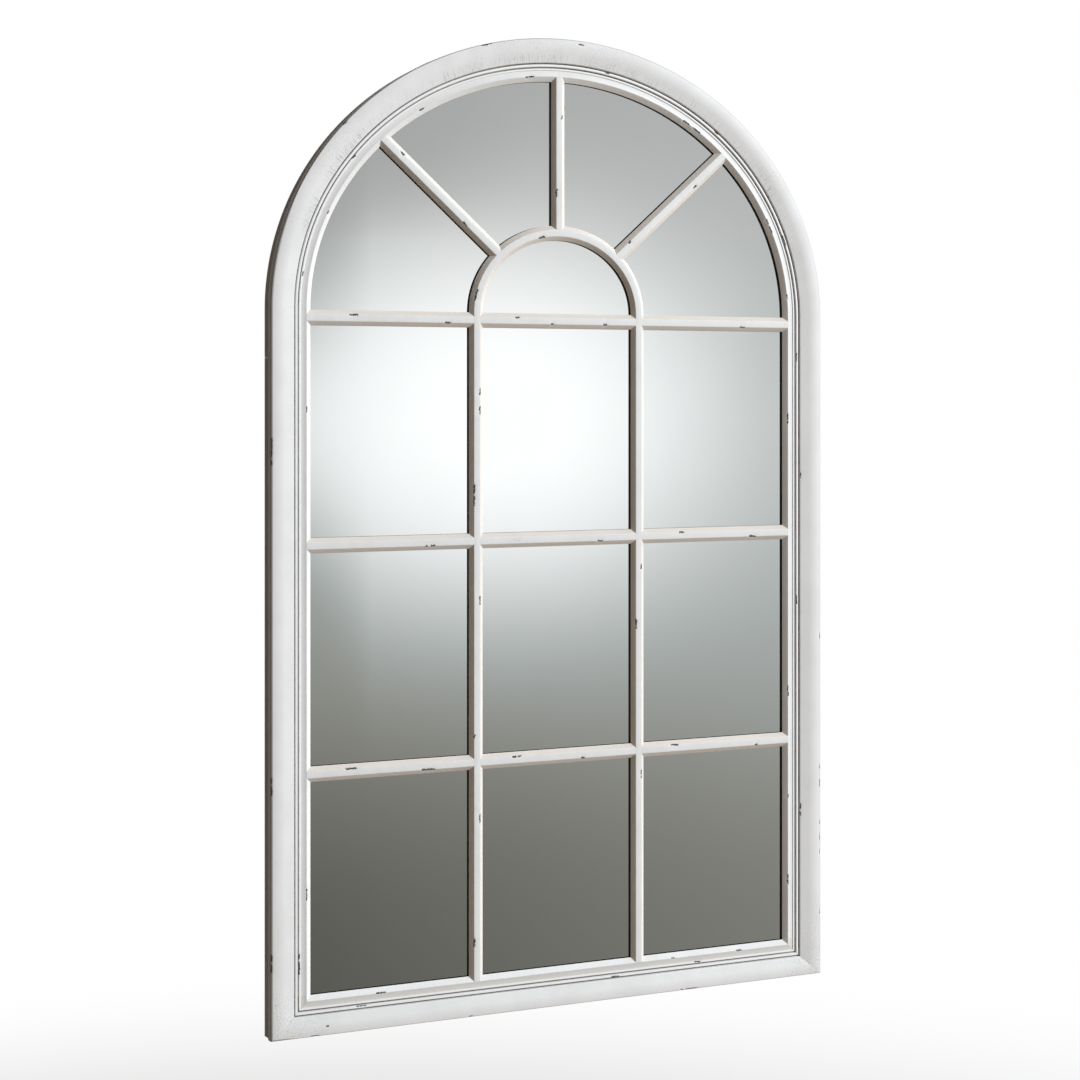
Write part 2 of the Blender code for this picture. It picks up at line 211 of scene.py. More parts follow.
# %% [markdown]
# ## Finishes
#
# A finish is one material. All of its patterns read Object coordinates, in metres, so that
# they have their real scale and don't slide. Its helpers are the few patterns that paint,
# timber and metal are made of: cloudy noise, cells, mixed colours and bumps.

# %% Finish
class Finish(Graph):
    """A material whose pattern is written as expressions."""

    def __init__(self, name):
        self.material = bpy.data.materials.new(name)
        self.material.use_nodes = True
        super().__init__(self.material.node_tree)
        self.tree.nodes.clear()
        self.place = self.node("ShaderNodeTexCoord", output="Object")
        self.x = self.axis(self.place, "X")
        self.y = self.axis(self.place, "Y")
        self.z = self.axis(self.place, "Z")

    def axis(self, vector, name):
        return self.node("ShaderNodeSeparateXYZ", None, {0: vector}, name)

    def point(self, x, y, z):
        return self.node("ShaderNodeCombineXYZ", None, {"X": x, "Y": y, "Z": z})

    def own(self, name):
        """A number that the piece's mesh holds for each of its points."""
        return self.node("ShaderNodeAttribute", {"attribute_name": name}, output="Fac")

    def clouds(self, scale, detail=2, roughness=0.5, at=None):
        return self.node("ShaderNodeTexNoise", None,
                         {"Vector": at or self.place, "Scale": scale, "Detail": detail,
                          "Roughness": roughness})

    def cells(self, scale, at=None, feature="DISTANCE_TO_EDGE", randomness=1, output="Distance"):
        return self.node("ShaderNodeTexVoronoi", {"feature": feature},
                         {"Vector": at or self.place, "Scale": scale,
                          "Randomness": randomness}, output)

    def mixed(self, share, first, second):
        colours = [value if isinstance(value, Value) else (*value, 1)
                   for value in (first, second)]
        return self.node("ShaderNodeMix", {"data_type": "RGBA"},
                         {0: share, 6: colours[0], 7: colours[1]}, 2)

    def bumped(self, height, depth, normal=None):
        inputs = {"Height": height, "Distance": depth, "Strength": 1}
        if normal:
            inputs["Normal"] = normal
        return self.node("ShaderNodeBump", None, inputs)

    def shaded(self, inputs):
        inputs = {name: (*value, 1) if isinstance(value, tuple) else value
                  for name, value in inputs.items()}
        surface = self.node("ShaderNodeBsdfPrincipled", None, inputs)
        self.node("ShaderNodeOutputMaterial", None, {"Surface": surface})
        return self.material


# %% [markdown]
# ## White paint
#
# The paint is a warm white, brushed on thickly, crazed by age and rubbed through at the
# edges. A picture of real paint would do it, but it would stretch round the mouldings. Here
# the mesh itself says how far each point lies in from the outer edge, how far along the
# member, and how near a chip. The pattern uses these three numbers, so that crazing follows
# the arch, and dirt and painted shade lie in the grooves. A thin warm painted shade lies on
# the slopes, stronger to the right, and on the fascia of the bottom rail. The outer sides are
# painted dark as shade, widest on the left, and the bead tops carry a painted highlight.

# %% White paint
groove_places, groove_reach = (0.0326, 0.0378), 0.0012
bead_tops = ((0.0349, 0.0016), (0.0396, 0.0013))
fascia_start, fascia_stop = 0.0405, 0.0492
ledge = foot + 0.050
clean_white, dull_white = (0.81, 0.81, 0.795), (0.765, 0.765, 0.75)
# The white on the next line is a painted highlight for the tops of the beads.
bead_highlight_white = (0.93, 0.93, 0.92)
# Of the next three tints, the second is dirt with painted shade for the grooves, and the third is
# painted shade for the fascia of the bottom rail.
crack_tint, groove_dirt_and_shade_tint, fascia_shade_tint = (0.38, 0.37, 0.36), (0.13, 0.085, 0.05), (0.62, 0.59, 0.54)
# Both tints on the next line are painted shade: the first for the outer sides, the second for the
# slopes down to the glass.
side_shade_tint, slope_shade_tint = (0.12, 0.10, 0.085), (0.71, 0.67, 0.61)
# The tint on the next line is painted shade for the slopes of the glazing bars.
bar_slope_shade_tint = (0.70, 0.63, 0.555)


def crazing(finish, along, inset):
    """Hair cracks: a net near the corners, and ticks across the band."""
    net = finish.cells(260)
    wander = finish.clouds(90, 3) * 0.004
    ticks = finish.cells(1, finish.point((along + wander) * 420, inset * 22, 0))
    patches = finish.rise(finish.clouds(14, 3), 0.48, 0.62)
    band = finish.rise(inset, band_width + 0.001, band_width - 0.001)
    low_corner = finish.rise(finish.size(finish.x) - finish.z, half_width - foot - 0.12,
                             half_width - foot - 0.03)
    on_arch = finish.rise(finish.z, springline - 0.02, springline + 0.12)
    where = finish.high(patches * 0.6 * on_arch, low_corner)
    lines = finish.rise(net, 0.055, 0.015) * where
    edge = finish.rise(inset, 0.016, 0.026) * on_arch
    return finish.high(lines, finish.rise(ticks, 0.07, 0.015) * edge * (patches + 0.45)) * band


def white_paint(name, moulded):
    finish = Finish(name)
    inset = finish.own("inset")
    along = finish.own("along")
    ragged = finish.clouds(520, 4, 0.75)
    bare = finish.rise(finish.own("chip") + (ragged - 0.5) * 1.5, 0.5, 0.72)
    brushed = finish.clouds(1, 2, 0.5, finish.point(along * 14, inset * 320, 0))
    cloudy = finish.clouds(22, 4, 0.6)
    white = finish.mixed(finish.rise(cloudy, 0.35, 0.7), clean_white, dull_white)
    height = brushed * 0.3 + finish.clouds(130, 3, 0.5) * 0.7
    if moulded:
        lines = crazing(finish, along, inset)
        white = finish.mixed(lines * 0.42, white, crack_tint)
        height = height - lines
        # Dirt and painted shade in the grooves: darker deeper down, stronger on the bottom rail
        # and weaker on the right stile.
        grooves = finish.high(*(finish.near(inset, place, groove_reach)
                                for place in groove_places))
        deep = finish.rise(finish.y, -0.0226, -0.0209)
        right = finish.rise(finish.x, 0.33, 0.36)
        low = finish.rise(finish.z, ledge + 0.002, ledge)
        groove_dirt_and_shade = (grooves * deep * (0.6 + 0.5 * finish.clouds(90, 3))
                 * (1 + 0.9 * low - 0.6 * right))
        # Painted shade: a warm, darker band on the fascia of the bottom rail.
        dust_and_shade = (low * finish.rise(inset, fascia_start, fascia_start + 0.001)
                * finish.rise(inset, fascia_stop, fascia_stop - 0.001))
        # A painted highlight: the tops of the two beads are made whiter than the paint.
        bead_highlight = finish.high(*(finish.near(inset, place, reach) for place, reach in bead_tops))
        white = finish.mixed(bead_highlight, white, bead_highlight_white)
        white = finish.mixed(dust_and_shade * 0.45, white, fascia_shade_tint)
        white = finish.mixed(groove_dirt_and_shade, white, groove_dirt_and_shade_tint)
        # Painted shade: the outer sides are made dark, over a wider band on the left side and
        # more towards the back.
        left = finish.rise(finish.x, -0.36, -0.39)
        side = finish.rise(inset - left * 0.0014, 0.0015, 0.0004)
        side_shade = side * (0.58 + 0.26 * finish.rise(finish.y, -0.0255, -0.0200))
        white = finish.mixed(side_shade, white, side_shade_tint)
        # Painted shade: a warm tone on the slopes down to the glass, stronger on the right and
        # left off the bottom rail.
        slope = finish.rise(inset, face_width - face_slope, face_width - face_slope + 0.001)
        slope_shade = slope * (0.2 + 0.35 * finish.rise(finish.x, -0.15, 0.1)) * (1 - low)
        white = finish.mixed(slope_shade, white, slope_shade_tint)
    else:
        # Painted shade: a warm tone on both slopes of a glazing bar.
        slope = finish.rise(finish.size(inset), bar_flat / 2 - 0.0003, bar_flat / 2 + 0.0006)
        white = finish.mixed(slope * 0.8, white, bar_slope_shade_tint)
    # The faces that lie on the glass are bare timber, made very dark as painted shade, which the
    # mirror shows as the dark line under each member.
    under = finish.rise(finish.y, -seat - 0.0002, -seat - 0.0001)
    timber = finish.mixed(finish.clouds(300, 3), (0.06, 0.055, 0.045), (0.10, 0.09, 0.075))
    slate = finish.mixed(finish.clouds(700, 2), (0.025, 0.025, 0.03), (0.10, 0.09, 0.09))
    colour = finish.mixed(bare, finish.mixed(under, white, timber), slate)
    return finish.shaded({
        "Base Color": colour,
        "Roughness": 0.42 + 0.12 * cloudy + 0.2 * bare,
        "Specular IOR Level": 0.2,
        "Normal": finish.bumped(height - bare, 0.00008),
    })


moulding_paint = white_paint("moulding_paint", True)
bar_paint = white_paint("glazing_bar_paint", False)
print("paint nodes:", len(moulding_paint.node_tree.nodes), len(bar_paint.node_tree.nodes))

# %% [markdown]
# ## Sections
#
# A moulding is one section drawn along a line. The section of the frame is read from its
# outer edge inwards: a broad rounded band, a groove, a bead, a second groove, a low bead, a
# flat fascia, and a slope down to the glass. The CAD section has few points and sharp
# corners. This one has more points, and every corner is eased, because paint never leaves a
# sharp arris and an eased one catches light.

# %% Sections
def between(start, end, count):
    return [start + (end - start) * step / count for step in range(count + 1)]


def bulged(start, end, bulge, count):
    points = []
    for share in between(0, 1, count)[1:]:
        lift = 4 * bulge * share * (1 - share)
        points.append((start[0] + (end[0] - start[0]) * share,
                       start[1] + (end[1] - start[1]) * share + lift))
    return points


def falling(start, side, end_height, count=4):
    return [(start[0] + side * math.sin(turn),
             end_height + (start[1] - end_height) * math.cos(turn))
            for turn in between(0, math.pi / 2, count)[1:]]


def bead(start, width, side, top, end_height, count=4):
    points = [(start[0] + side * (1 - math.cos(turn)),
               start[1] + (top - start[1]) * math.sin(turn))
              for turn in between(0, math.pi / 2, count)[1:]]
    points += [(start[0] + width / 2, top + 0.0001), (start[0] + width - side, top)]
    return points + falling(points[-1], side, end_height, count)


def eased(points, radius, least=math.radians(26), count=3):
    """Rounds the corners of a closed section, and says which points lie on an arris."""
    made = []
    for index, here in enumerate(points):
        here = Vector(here)
        before = Vector(points[index - 1])
        after = Vector(points[(index + 1) % len(points)])
        turn = (here - before).angle(after - here)
        if turn < least:
            made.append((here.x, here.y, 0))
            continue
        back = (before - here).normalized() * min(radius, (before - here).length * 0.4)
        on = (after - here).normalized() * min(radius, (after - here).length * 0.4)
        for share in between(0, 1, count):
            spot = here + back * (1 - share) ** 2 + on * share ** 2
            made.append((spot.x, spot.y, float(here.y > seat + 0.001)))
    return made


def moulding_section():
    edge_height, edge_round = 0.0282, 0.0012
    band_crown, band_bulge, band_end = (0.0170, 0.0278), 0.00055, 0.0251
    groove, groove_width, wall = 0.0207, 0.0010, 0.0009
    bead_width, bead_top, low_bead_width, low_bead_top = 0.0042, 0.0235, 0.0032, 0.0220
    fascia_drop, fascia_hollow = 0.0012, 0.0003
    points = [(0, seat), (0, (seat + edge_height - edge_round) / 2),
              (0, edge_height - edge_round)]
    for turn in between(0, math.pi / 2, 6)[1:]:
        points.append((edge_round * (1 - math.cos(turn)),
                       edge_height - edge_round * (1 - math.sin(turn))))
    points += bulged(points[-1], band_crown, band_bulge, 9)
    points += bulged(points[-1], (band_width, band_end), 0.0, 5)
    points += falling(points[-1], wall, groove)
    points.append((points[-1][0] + groove_width, groove))
    points += bead(points[-1], bead_width, wall, bead_top, groove)
    points.append((points[-1][0] + groove_width, groove))
    points += bead(points[-1], low_bead_width, wall, low_bead_top, bar_top - fascia_drop)
    points += bulged(points[-1], (face_width - face_slope, bar_top), -fascia_hollow, 6)
    points += [(face_width - face_slope / 2, (bar_top + seat + bar_foot) / 2),
               (face_width, seat + bar_foot), (face_width, seat), (band_width, seat)]
    return points


def bar_section():
    flat = bar_flat / 2
    half_way = (seat + bar_foot + bar_top) / 2
    slope_way = (bar_half + flat) / 2
    return [(-bar_half, seat), (-bar_half, seat + bar_foot), (-slope_way, half_way),
            (-flat, bar_top), (0, bar_top), (flat, bar_top), (slope_way, half_way),
            (bar_half, seat + bar_foot), (bar_half, seat), (0, seat)]


arris_round = 0.0004
moulding = eased(moulding_section(), arris_round)
bar = eased(bar_section(), arris_round)
print("moulding points:", len(moulding), "bar points:", len(bar))

# %% [markdown]
# ## One tree for every member
#
# The stiles, the rail, the arch and all the bars are made alike: a section runs along a
# route, and its ends are cut to fit the next member. So one Geometry Nodes tree makes them
# all. It works as on a bench, with the frame lying face up, and then stands the member up.
# The cut of an end is a number for each point of the section: how far that point moves along
# the route. A mitre, a cope against a bar and a cope against the arch are then the same step.
# Last, the tree wears the arrises down unevenly, and sinks the paint where a chip lies near.

# %% Geometry tree of a member
SOCKETS = {"geometry": "NodeSocketGeometry", "object": "NodeSocketObject",
           "number": "NodeSocketFloat", "material": "NodeSocketMaterial",
           "count": "NodeSocketInt"}


class Pattern(Graph):
    """A Geometry Nodes tree with named inputs."""

    def __init__(self, name, inputs):
        super().__init__(bpy.data.node_groups.new(name, "GeometryNodeTree"))
        face = self.tree.interface
        face.new_socket("Geometry", in_out="OUTPUT", socket_type=SOCKETS["geometry"])
        self.keys = {"Geometry": face.new_socket(
            "Geometry", in_out="INPUT", socket_type=SOCKETS["geometry"]).identifier}
        for title, kind in inputs.items():
            made = face.new_socket(title, in_out="INPUT", socket_type=SOCKETS[kind])
            self.keys[title] = made.identifier
        self.entry = self.tree.nodes.new("NodeGroupInput")

    def given(self, title):
        return Value(self, self.entry.outputs[title])

    def field(self, name, kind="FLOAT"):
        return self.node("GeometryNodeInputNamedAttribute", {"data_type": kind},
                         {"Name": name})

    def times(self, vector, factor):
        return self.node("ShaderNodeVectorMath", {"operation": "SCALE"},
                         {0: vector, "Scale": factor})

    def shifted(self, shape, offset):
        return self.node("GeometryNodeSetPosition", None,
                         {"Geometry": shape, "Offset": offset})

    def stored(self, shape, name, value):
        return self.node("GeometryNodeStoreNamedAttribute", {"data_type": "FLOAT"},
                         {"Geometry": shape, "Name": name, "Value": value})

    def closed(self, shape, finish):
        shape = self.node("GeometryNodeRealizeInstances", None, {"Geometry": shape})
        shape = self.node("GeometryNodeSetMaterial", None,
                          {"Geometry": shape, "Material": finish})
        self.node("NodeGroupOutput", None, {0: shape})


def member_tree():
    tree = Pattern("member_on_a_route", {
        "Section": "object", "Chips": "object", "Wear": "number", "Chip Depth": "number",
        "Chip Reach": "number", "Finish": "material"})
    route = tree.node("GeometryNodeMeshToCurve", None, {0: tree.given("Geometry")})
    route = tree.node("GeometryNodeSetCurveNormal", {"mode": "Z_UP"}, {"Curve": route})
    outline = tree.node("GeometryNodeObjectInfo", None, {"Object": tree.given("Section")},
                        "Geometry")
    outline = tree.node("GeometryNodeMeshToCurve", None, {0: outline})
    shape = tree.node("GeometryNodeCurveToMesh", None,
                      {"Curve": route, "Profile Curve": outline, "Fill Caps": True})
    share = tree.field("share")
    cut = tree.field("start_cut") * (1 - share) + tree.field("end_cut") * share
    shape = tree.shifted(shape, tree.times(tree.field("run", "FLOAT_VECTOR"), cut))
    shape = tree.node("GeometryNodeTransform", None,
                      {"Geometry": shape, "Rotation": (math.pi / 2, 0, 0)})
    inwards = tree.times(tree.node("GeometryNodeInputNormal"), -1)
    nibbles = tree.node("ShaderNodeTexNoise", None, {"Scale": 160, "Detail": 4})
    shape = tree.shifted(shape, tree.times(
        inwards, tree.rise(nibbles, 0.4, 0.75) * tree.field("arris") * tree.given("Wear")))
    marks = tree.node("GeometryNodeObjectInfo", None, {"Object": tree.given("Chips")},
                      "Geometry")
    distance = tree.node("GeometryNodeProximity", {"target_element": "EDGES"},
                         {0: marks}, "Distance")
    shape = tree.stored(shape, "chip",
                        tree.high(1 - distance / tree.given("Chip Reach"), 0))
    sunk = tree.rise(tree.field("chip"), 0.3, 0.7) * tree.given("Chip Depth")
    shape = tree.shifted(shape, tree.times(inwards, sunk))
    tree.closed(shape, tree.given("Finish"))
    return tree


member_graph = member_tree()
print("member tree nodes:", len(member_graph.tree.nodes))

# %% [markdown]
# ## Routes and end cuts
#
# Each member travels so that the glass lies on its right: up the left stile, over the arch,
# down the right stile and back along the foot. Its station is the distance from the start.
# The spokes of the sunburst meet two curves at once, so the cut of their ends is found point
# by point: each point of the section moves out until it touches the curve at its own height.

# %% Routes
step_length = 0.002
foot_width = face_width - rail_trim
mitre_gap = joint_gap / 4


def straight(start, end):
    count = max(2, round(math.dist(start, end) / step_length))
    return [tuple(Vector(start).lerp(Vector(end), share)) for share in between(0, 1, count)]


def curved(across, rise, start, end):
    count = round(abs(end - start) * (across + rise) / 2 / step_length)
    return [(across * math.cos(turn), springline + rise * math.sin(turn))
            for turn in between(start, end, count)]


def up_from_foot(inset):
    """Where an inset of the moulding lies on the rail, whose band is narrower."""
    return inset - rail_trim * min(max(inset, 0) / band_width, 1)


def in_from_band(aside):
    """The inset of the moulding that a place on the rail has."""
    rail_band = band_width - rail_trim
    return aside * band_width / rail_band if aside < rail_band else aside + rail_trim


def cope(slope):
    return lambda aside, rise: slope * max(abs(aside), bar_flat / 2)


def square(aside, rise):
    return 0


def leaning(whole):
    """How far a slope has gone in, at a height between its foot and its top."""
    low = seat + bar_foot
    return lambda rise: min(max((rise - low) / (bar_top - low), 0), 1) * whole


def reach_along(angle, aside, across, rise, offset):
    """Distance along a spoke at which a point of its section meets an offset ellipse."""
    turns = np.linspace(0, math.pi, 4001)
    line = np.stack([across * np.cos(turns), rise * np.sin(turns)], 1)
    along = np.array([math.cos(angle), math.sin(angle)])
    right = np.array([math.sin(angle), -math.cos(angle)])
    low, high = 0.0, half_width
    for _ in range(24):
        way = (low + high) / 2
        spot = along * way + right * aside
        outside = (spot[0] / across) ** 2 + (spot[1] / rise) ** 2 > 1
        away = np.hypot(*(line - spot).T).min() * (1 if outside else -1)
        low, high = (way, high) if away < offset else (low, way)
    return (low + high) / 2


foot_cut = lambda inset, rise: up_from_foot(inset) + mitre_gap
side_cut = lambda inset, rise: inset + mitre_gap
members = {
    "face_stile_left": ("moulding", straight((-half_width, foot), (-half_width, springline)),
                        foot_cut, square),
    "face_arch_left": ("moulding", curved(half_width, arch_rise, math.pi, math.pi / 2),
                       square, square),
    "face_arch_right": ("moulding", curved(half_width, arch_rise, math.pi / 2, 0),
                        square, square),
    "face_stile_right": ("moulding", straight((half_width, springline), (half_width, foot)),
                         square, lambda inset, rise: -foot_cut(inset, rise)),
    "face_rail_bottom": ("rail", straight((half_width, foot), (-half_width, foot)),
                         side_cut, lambda inset, rise: -side_cut(inset, rise)),
    "inner_arch_bar": ("bar", curved(upright_offset, inner_rise, math.pi, 0), square, square),
}
bar_end = sight_half + face_cope * bar_half
for side, hand in ((-1, "left"), (1, "right")):
    across = side * upright_offset
    start = foot + foot_width - face_cope * bar_half
    members["upright_bar_" + hand] = ("bar", straight((across, start), (across, springline)),
                                      cope(face_cope), square)
for row, height in row_heights.items():
    for hand, start, end, first, last in (
            ("left", -bar_end, -upright_offset, face_cope, 1),
            ("centre", -upright_offset, upright_offset, 1, 1),
            ("right", upright_offset, bar_end, 1, face_cope)):
        members[row + "_bar_" + hand] = ("bar", straight((start, height), (end, height)),
                                         cope(first), cope(-last))


def spoke(angle):
    start = 1 / math.hypot(math.cos(angle) / upright_offset, math.sin(angle) / inner_rise)
    end = 1 / math.hypot(math.cos(angle) / sight_half, math.sin(angle) / (arch_rise - face_width))
    ends = [(reach * math.cos(angle), springline + reach * math.sin(angle))
            for reach in (start, end)]
    bar_in = leaning(bar_half - bar_flat / 2)
    face_in = leaning(face_slope)

    def at_bar(aside, rise):
        return reach_along(angle, aside, upright_offset, inner_rise,
                           bar_half - bar_in(rise)) - start

    def at_face(aside, rise):
        return reach_along(angle, aside, half_width, arch_rise,
                           face_in(rise) - face_width) - end

    return "bar", straight(*ends), at_bar, at_face


members["spoke_right"] = spoke(spoke_angle)
members["spoke_centre"] = spoke(math.pi / 2)
members["spoke_left"] = spoke(math.pi - spoke_angle)
print("members:", len(members))

# %% [markdown]
# ## Chips
#
# Paint chips off where a thing is knocked, which is along its arrises. Each chip is given by
# the member that it is on, the column and row of the photograph at which it was seen, and its
# length in millimetres. The view of the camera through that pixel is followed down to the
# member, and a short broken line is laid there, on the nearest arris if one is near. The tree
# then measures how far each point of the paint is from such a line, and the finish shows the
# dark ground where it is near.

# %% Chips
top_line = [(inset, rise) for inset, rise in moulding_section() if rise > seat]
bar_line = [(aside, rise) for aside, rise in bar_section() if rise > seat]
arrises = {"moulding": (0.0008, band_width, 0.0337, 0.0361, 0.0389, 0.0403,
                        face_width - face_slope),
           "bar": (-bar_flat / 2, bar_flat / 2)}
arrises["rail"] = arrises["moulding"]
chips = {
    "face_arch_left": ((487, 45, 14), (346, 123, 6), (354, 156, 5), (421, 109, 6),
                       (329, 212, 4), (303, 273, 5), (529, 76, 12)),
    "face_arch_right": ((582, 45, 7), (607, 73, 6), (691.5, 126.5, 30), (716, 133, 5),
                        (770, 226, 21), (782, 240.5, 14), (786, 297, 5)),
    "face_stile_left": ((307, 409, 6), (273, 452, 32), (273.5, 785, 25), (308, 894, 13),
                        (274, 964, 21), (298.5, 964, 24)),
    "face_stile_right": ((795, 357, 10), (788.5, 418.5, 14), (799.5, 474, 11), (797, 600, 13),
                         (820, 636, 8), (789, 690, 16), (819, 767.5, 4), (819, 782.5, 9),
                         (788.5, 795.5, 4), (799.5, 809.5, 18), (819, 821.5, 4),
                         (819, 836, 10), (819, 850.5, 6), (789, 880, 12), (820, 911, 5)),
    "face_rail_bottom": ((381, 993, 12), (361, 1006, 14), (328, 1026, 3), (312, 1037, 12),
                         (470.5, 1016.5, 4), (689, 988, 25), (740, 950, 10), (673, 958, 4),
                         (697, 962, 8), (615, 977, 10)),
    "inner_arch_bar": ((475.5, 293.5, 17), (542, 238, 8)),
    "spoke_left": ((403, 153, 6), (464, 225, 7)),
    "spoke_centre": ((564, 108, 5), (563, 118, 4), (557, 194, 9)),
    "spoke_right": ((694, 186, 5), (631, 243, 4)),
    "springline_bar_left": ((354, 315, 10), (449, 323, 10)),
    "springline_bar_centre": ((516, 318, 7), (552, 325, 3), (606, 325, 4)),
    "springline_bar_right": ((743, 326, 6),),
    "upper_bar_left": ((430, 546, 13),),
    "upper_bar_centre": ((518, 539, 13), (600, 540, 6)),
    "upper_bar_right": ((680.5, 532, 9), (752.5, 535.5, 10)),
    "lower_bar_left": ((350.5, 768.5, 15), (428.5, 768.5, 17)),
    "lower_bar_centre": ((517, 755.5, 12), (584.5, 756, 7)),
    "lower_bar_right": ((675.5, 744.5, 13), (756, 744, 3)),
    "upright_bar_left": ((479.5, 392, 8), (479.5, 410, 9), (474, 496, 29), (479, 600, 10),
                         (474.5, 736, 3), (480, 818, 10), (475.5, 943, 13)),
    "upright_bar_right": ((641, 567, 6), (636, 623, 15), (642, 773.5, 12)),
}
view_steps = 160
arris_reach = 0.003
chip_drift = 0.0004
spot_gap = 2.4
knocks = np.random.RandomState(7)


def seen_at(column, row, rise):
    """The place at a height over the wall that the camera sees at a pixel."""
    aim = Vector((column / photo_side - 0.5, 0.5 + lens_shift - row / photo_side,
                  -camera_lens / film_width))
    aim.rotate(camera_aim)
    point = camera_place + aim * ((-rise - camera_place.y) / aim.y)
    return point.x, point.z


def beside(line, place):
    """The nearest station of a route, the way ahead and to the right, and how far aside."""
    nearest = int(np.argmin(np.hypot(*(line - place).T)))
    nearest = min(max(nearest, 1), len(line) - 2)
    ahead = line[nearest + 1] - line[nearest - 1]
    ahead = ahead / np.hypot(*ahead)
    right = np.array([ahead[1], -ahead[0]])
    return line[nearest], ahead, right, float(np.dot(place - line[nearest], right))


def lay_chip(member, column, row, length):
    """A broken line where the camera sees a chip, on an arris if one is near."""
    kind, route, _, _ = members[member]
    line = np.array(route)
    profile = bar_line if kind == "bar" else top_line
    for height in between(max(rise for _, rise in profile), seat, view_steps):
        station, ahead, right, aside = beside(line, seen_at(column, row, height))
        if kind == "rail":
            aside = in_from_band(aside)
        if np.interp(aside, *zip(*profile)) >= height:
            break
    close = min(arrises[kind], key=lambda arris: abs(arris - aside))
    if abs(close - aside) < arris_reach:
        aside = close
    rise = np.interp(aside, *zip(*profile))
    if kind == "rail":
        aside = up_from_foot(aside)
    spots = []
    for share in between(-0.5, 0.5, max(1, round(length / spot_gap))):
        drift = aside + knocks.uniform(-chip_drift, chip_drift)
        flat = station + right * drift + ahead * share * length / 1000
        spots.append((flat[0], -rise, flat[1]))
    return spots


def line_object(name, points, pairs, numbers=None, directions=None):
    data = bpy.data.meshes.new(name)
    data.from_pydata(points, pairs, [])
    for title, values in (numbers or {}).items():
        data.attributes.new(title, "FLOAT", "POINT").data.foreach_set("value", values)
    if directions is not None:
        layer = data.attributes.new("run", "FLOAT_VECTOR", "POINT")
        layer.data.foreach_set("vector", np.array(directions, float).ravel())
    made = bpy.data.objects.new(name, data)
    bpy.context.scene.collection.objects.link(made)
    return made


def chain(count, closed=False):
    return [(index, index + 1) for index in range(count - 1)] + [(count - 1, 0)] * closed


def chip_lines():
    points, pairs = [], []
    for member, places in chips.items():
        for place in places:
            spots = lay_chip(member, *place)
            for first, last in chain(len(spots)):
                if len(spots) < 4 or knocks.uniform() < 0.8:
                    pairs.append((first + len(points), last + len(points)))
            points += spots
    return line_object("chip_lines", points, pairs)


chip_marks = chip_lines()
print("chips:", sum(len(places) for places in chips.values()), "lines:",
      len(chip_marks.data.edges))

# %% [markdown]
# ## Making the members
#
# For each member the section and the route become two small objects of points and edges. The
# tree is a modifier on the route. Its result is turned into a plain mesh, because the export
# can't follow a live modifier, and the plain mesh rides on the body of the CAD node that it
# replaces.

# %% Make the members
sections = {"moulding": [(x, x, rise, worn) for x, rise, worn in moulding],
            "rail": [(up_from_foot(x), x, rise, worn) for x, rise, worn in moulding],
            "bar": [(x, x, rise, worn) for x, rise, worn in bar]}
scene_objects = bpy.context.scene.collection.objects


def plain_mesh(name, source, sharp=50):
    """The evaluated shape of an object, as a mesh object of its own."""
    seen = source.evaluated_get(bpy.context.evaluated_depsgraph_get())
    data = bpy.data.meshes.new_from_object(seen)
    data.name = name
    data.polygons.foreach_set("use_smooth", [True] * len(data.polygons))
    data.set_sharp_from_angle(angle=math.radians(sharp))
    made = bpy.data.objects.new(name, data)
    scene_objects.link(made)
    return made


def grown(name, source, pattern, values, sharp=50):
    """Runs a Geometry Nodes tree on an object, and clears the object away."""
    grower = source.modifiers.new(pattern.tree.name, "NODES")
    grower.node_group = pattern.tree
    for title, value in values.items():
        grower[pattern.keys[title]] = value
    made = plain_mesh(name, source, sharp)
    bpy.data.objects.remove(source)
    return made


def make_member(node, kind, route, first_cut, last_cut, finish, slot, wear, body="frame",
                looped=False):
    """Draws a section along a route, cuts its ends, and puts it in place of a CAD node."""
    outline = sections[kind]
    section = line_object(
        node + "_section", [(x, -rise, 0) for x, _, rise, _ in outline],
        chain(len(outline), True),
        {"inset": [inset for _, inset, _, _ in outline],
         "arris": [worn for _, _, _, worn in outline],
         "start_cut": [first_cut(inset, rise) for _, inset, rise, _ in outline],
         "end_cut": [last_cut(inset, rise) for _, inset, rise, _ in outline]})
    line = np.array(route)
    ahead = np.gradient(line, axis=0)
    ahead = ahead / np.hypot(*ahead.T)[:, None]
    gone = np.concatenate([[0], np.cumsum(np.hypot(*np.diff(line, axis=0).T))])
    path = line_object(node + "_route", [(x, z, 0) for x, z in route],
                       chain(len(route), looped),
                       {"share": gone / gone[-1], "along": gone},
                       [(x, z, 0) for x, z in ahead])
    made = grown(node + "_finished", path, member_graph, {
        "Section": section, "Chips": chip_marks, "Wear": wear,
        "Chip Depth": 0.0003 if wear else 0.0, "Chip Reach": 0.0025, "Finish": finish})
    bpy.data.objects.remove(section)
    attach(made, body)
    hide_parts(node)
    return made


faces = 0
for node, (kind, *rest) in members.items():
    on_bar = kind == "bar"
    made = make_member(node, kind, *rest, bar_paint if on_bar else moulding_paint,
                       "bar_paint" if on_bar else "white_paint", 0.00015)
    faces += len(made.data.polygons)
print("member faces:", faces)

# %% [markdown]
# ## Mirror
#
# A mirror is clear glass with silver on its back. Seen through 4 mm of glass, the silver
# seems to lie 2.6 mm down, because glass bends light. That depth is what shows the thin dark
# line along every bar: it is the bar's own underside, reflected, and that underside is bare
# timber made very dark as painted shade. Clear glass over a second surface would cost noise
# in the render, so one polished metal sheet lies at the depth where the silver seems to be,
# with a faint green tint from the glass.

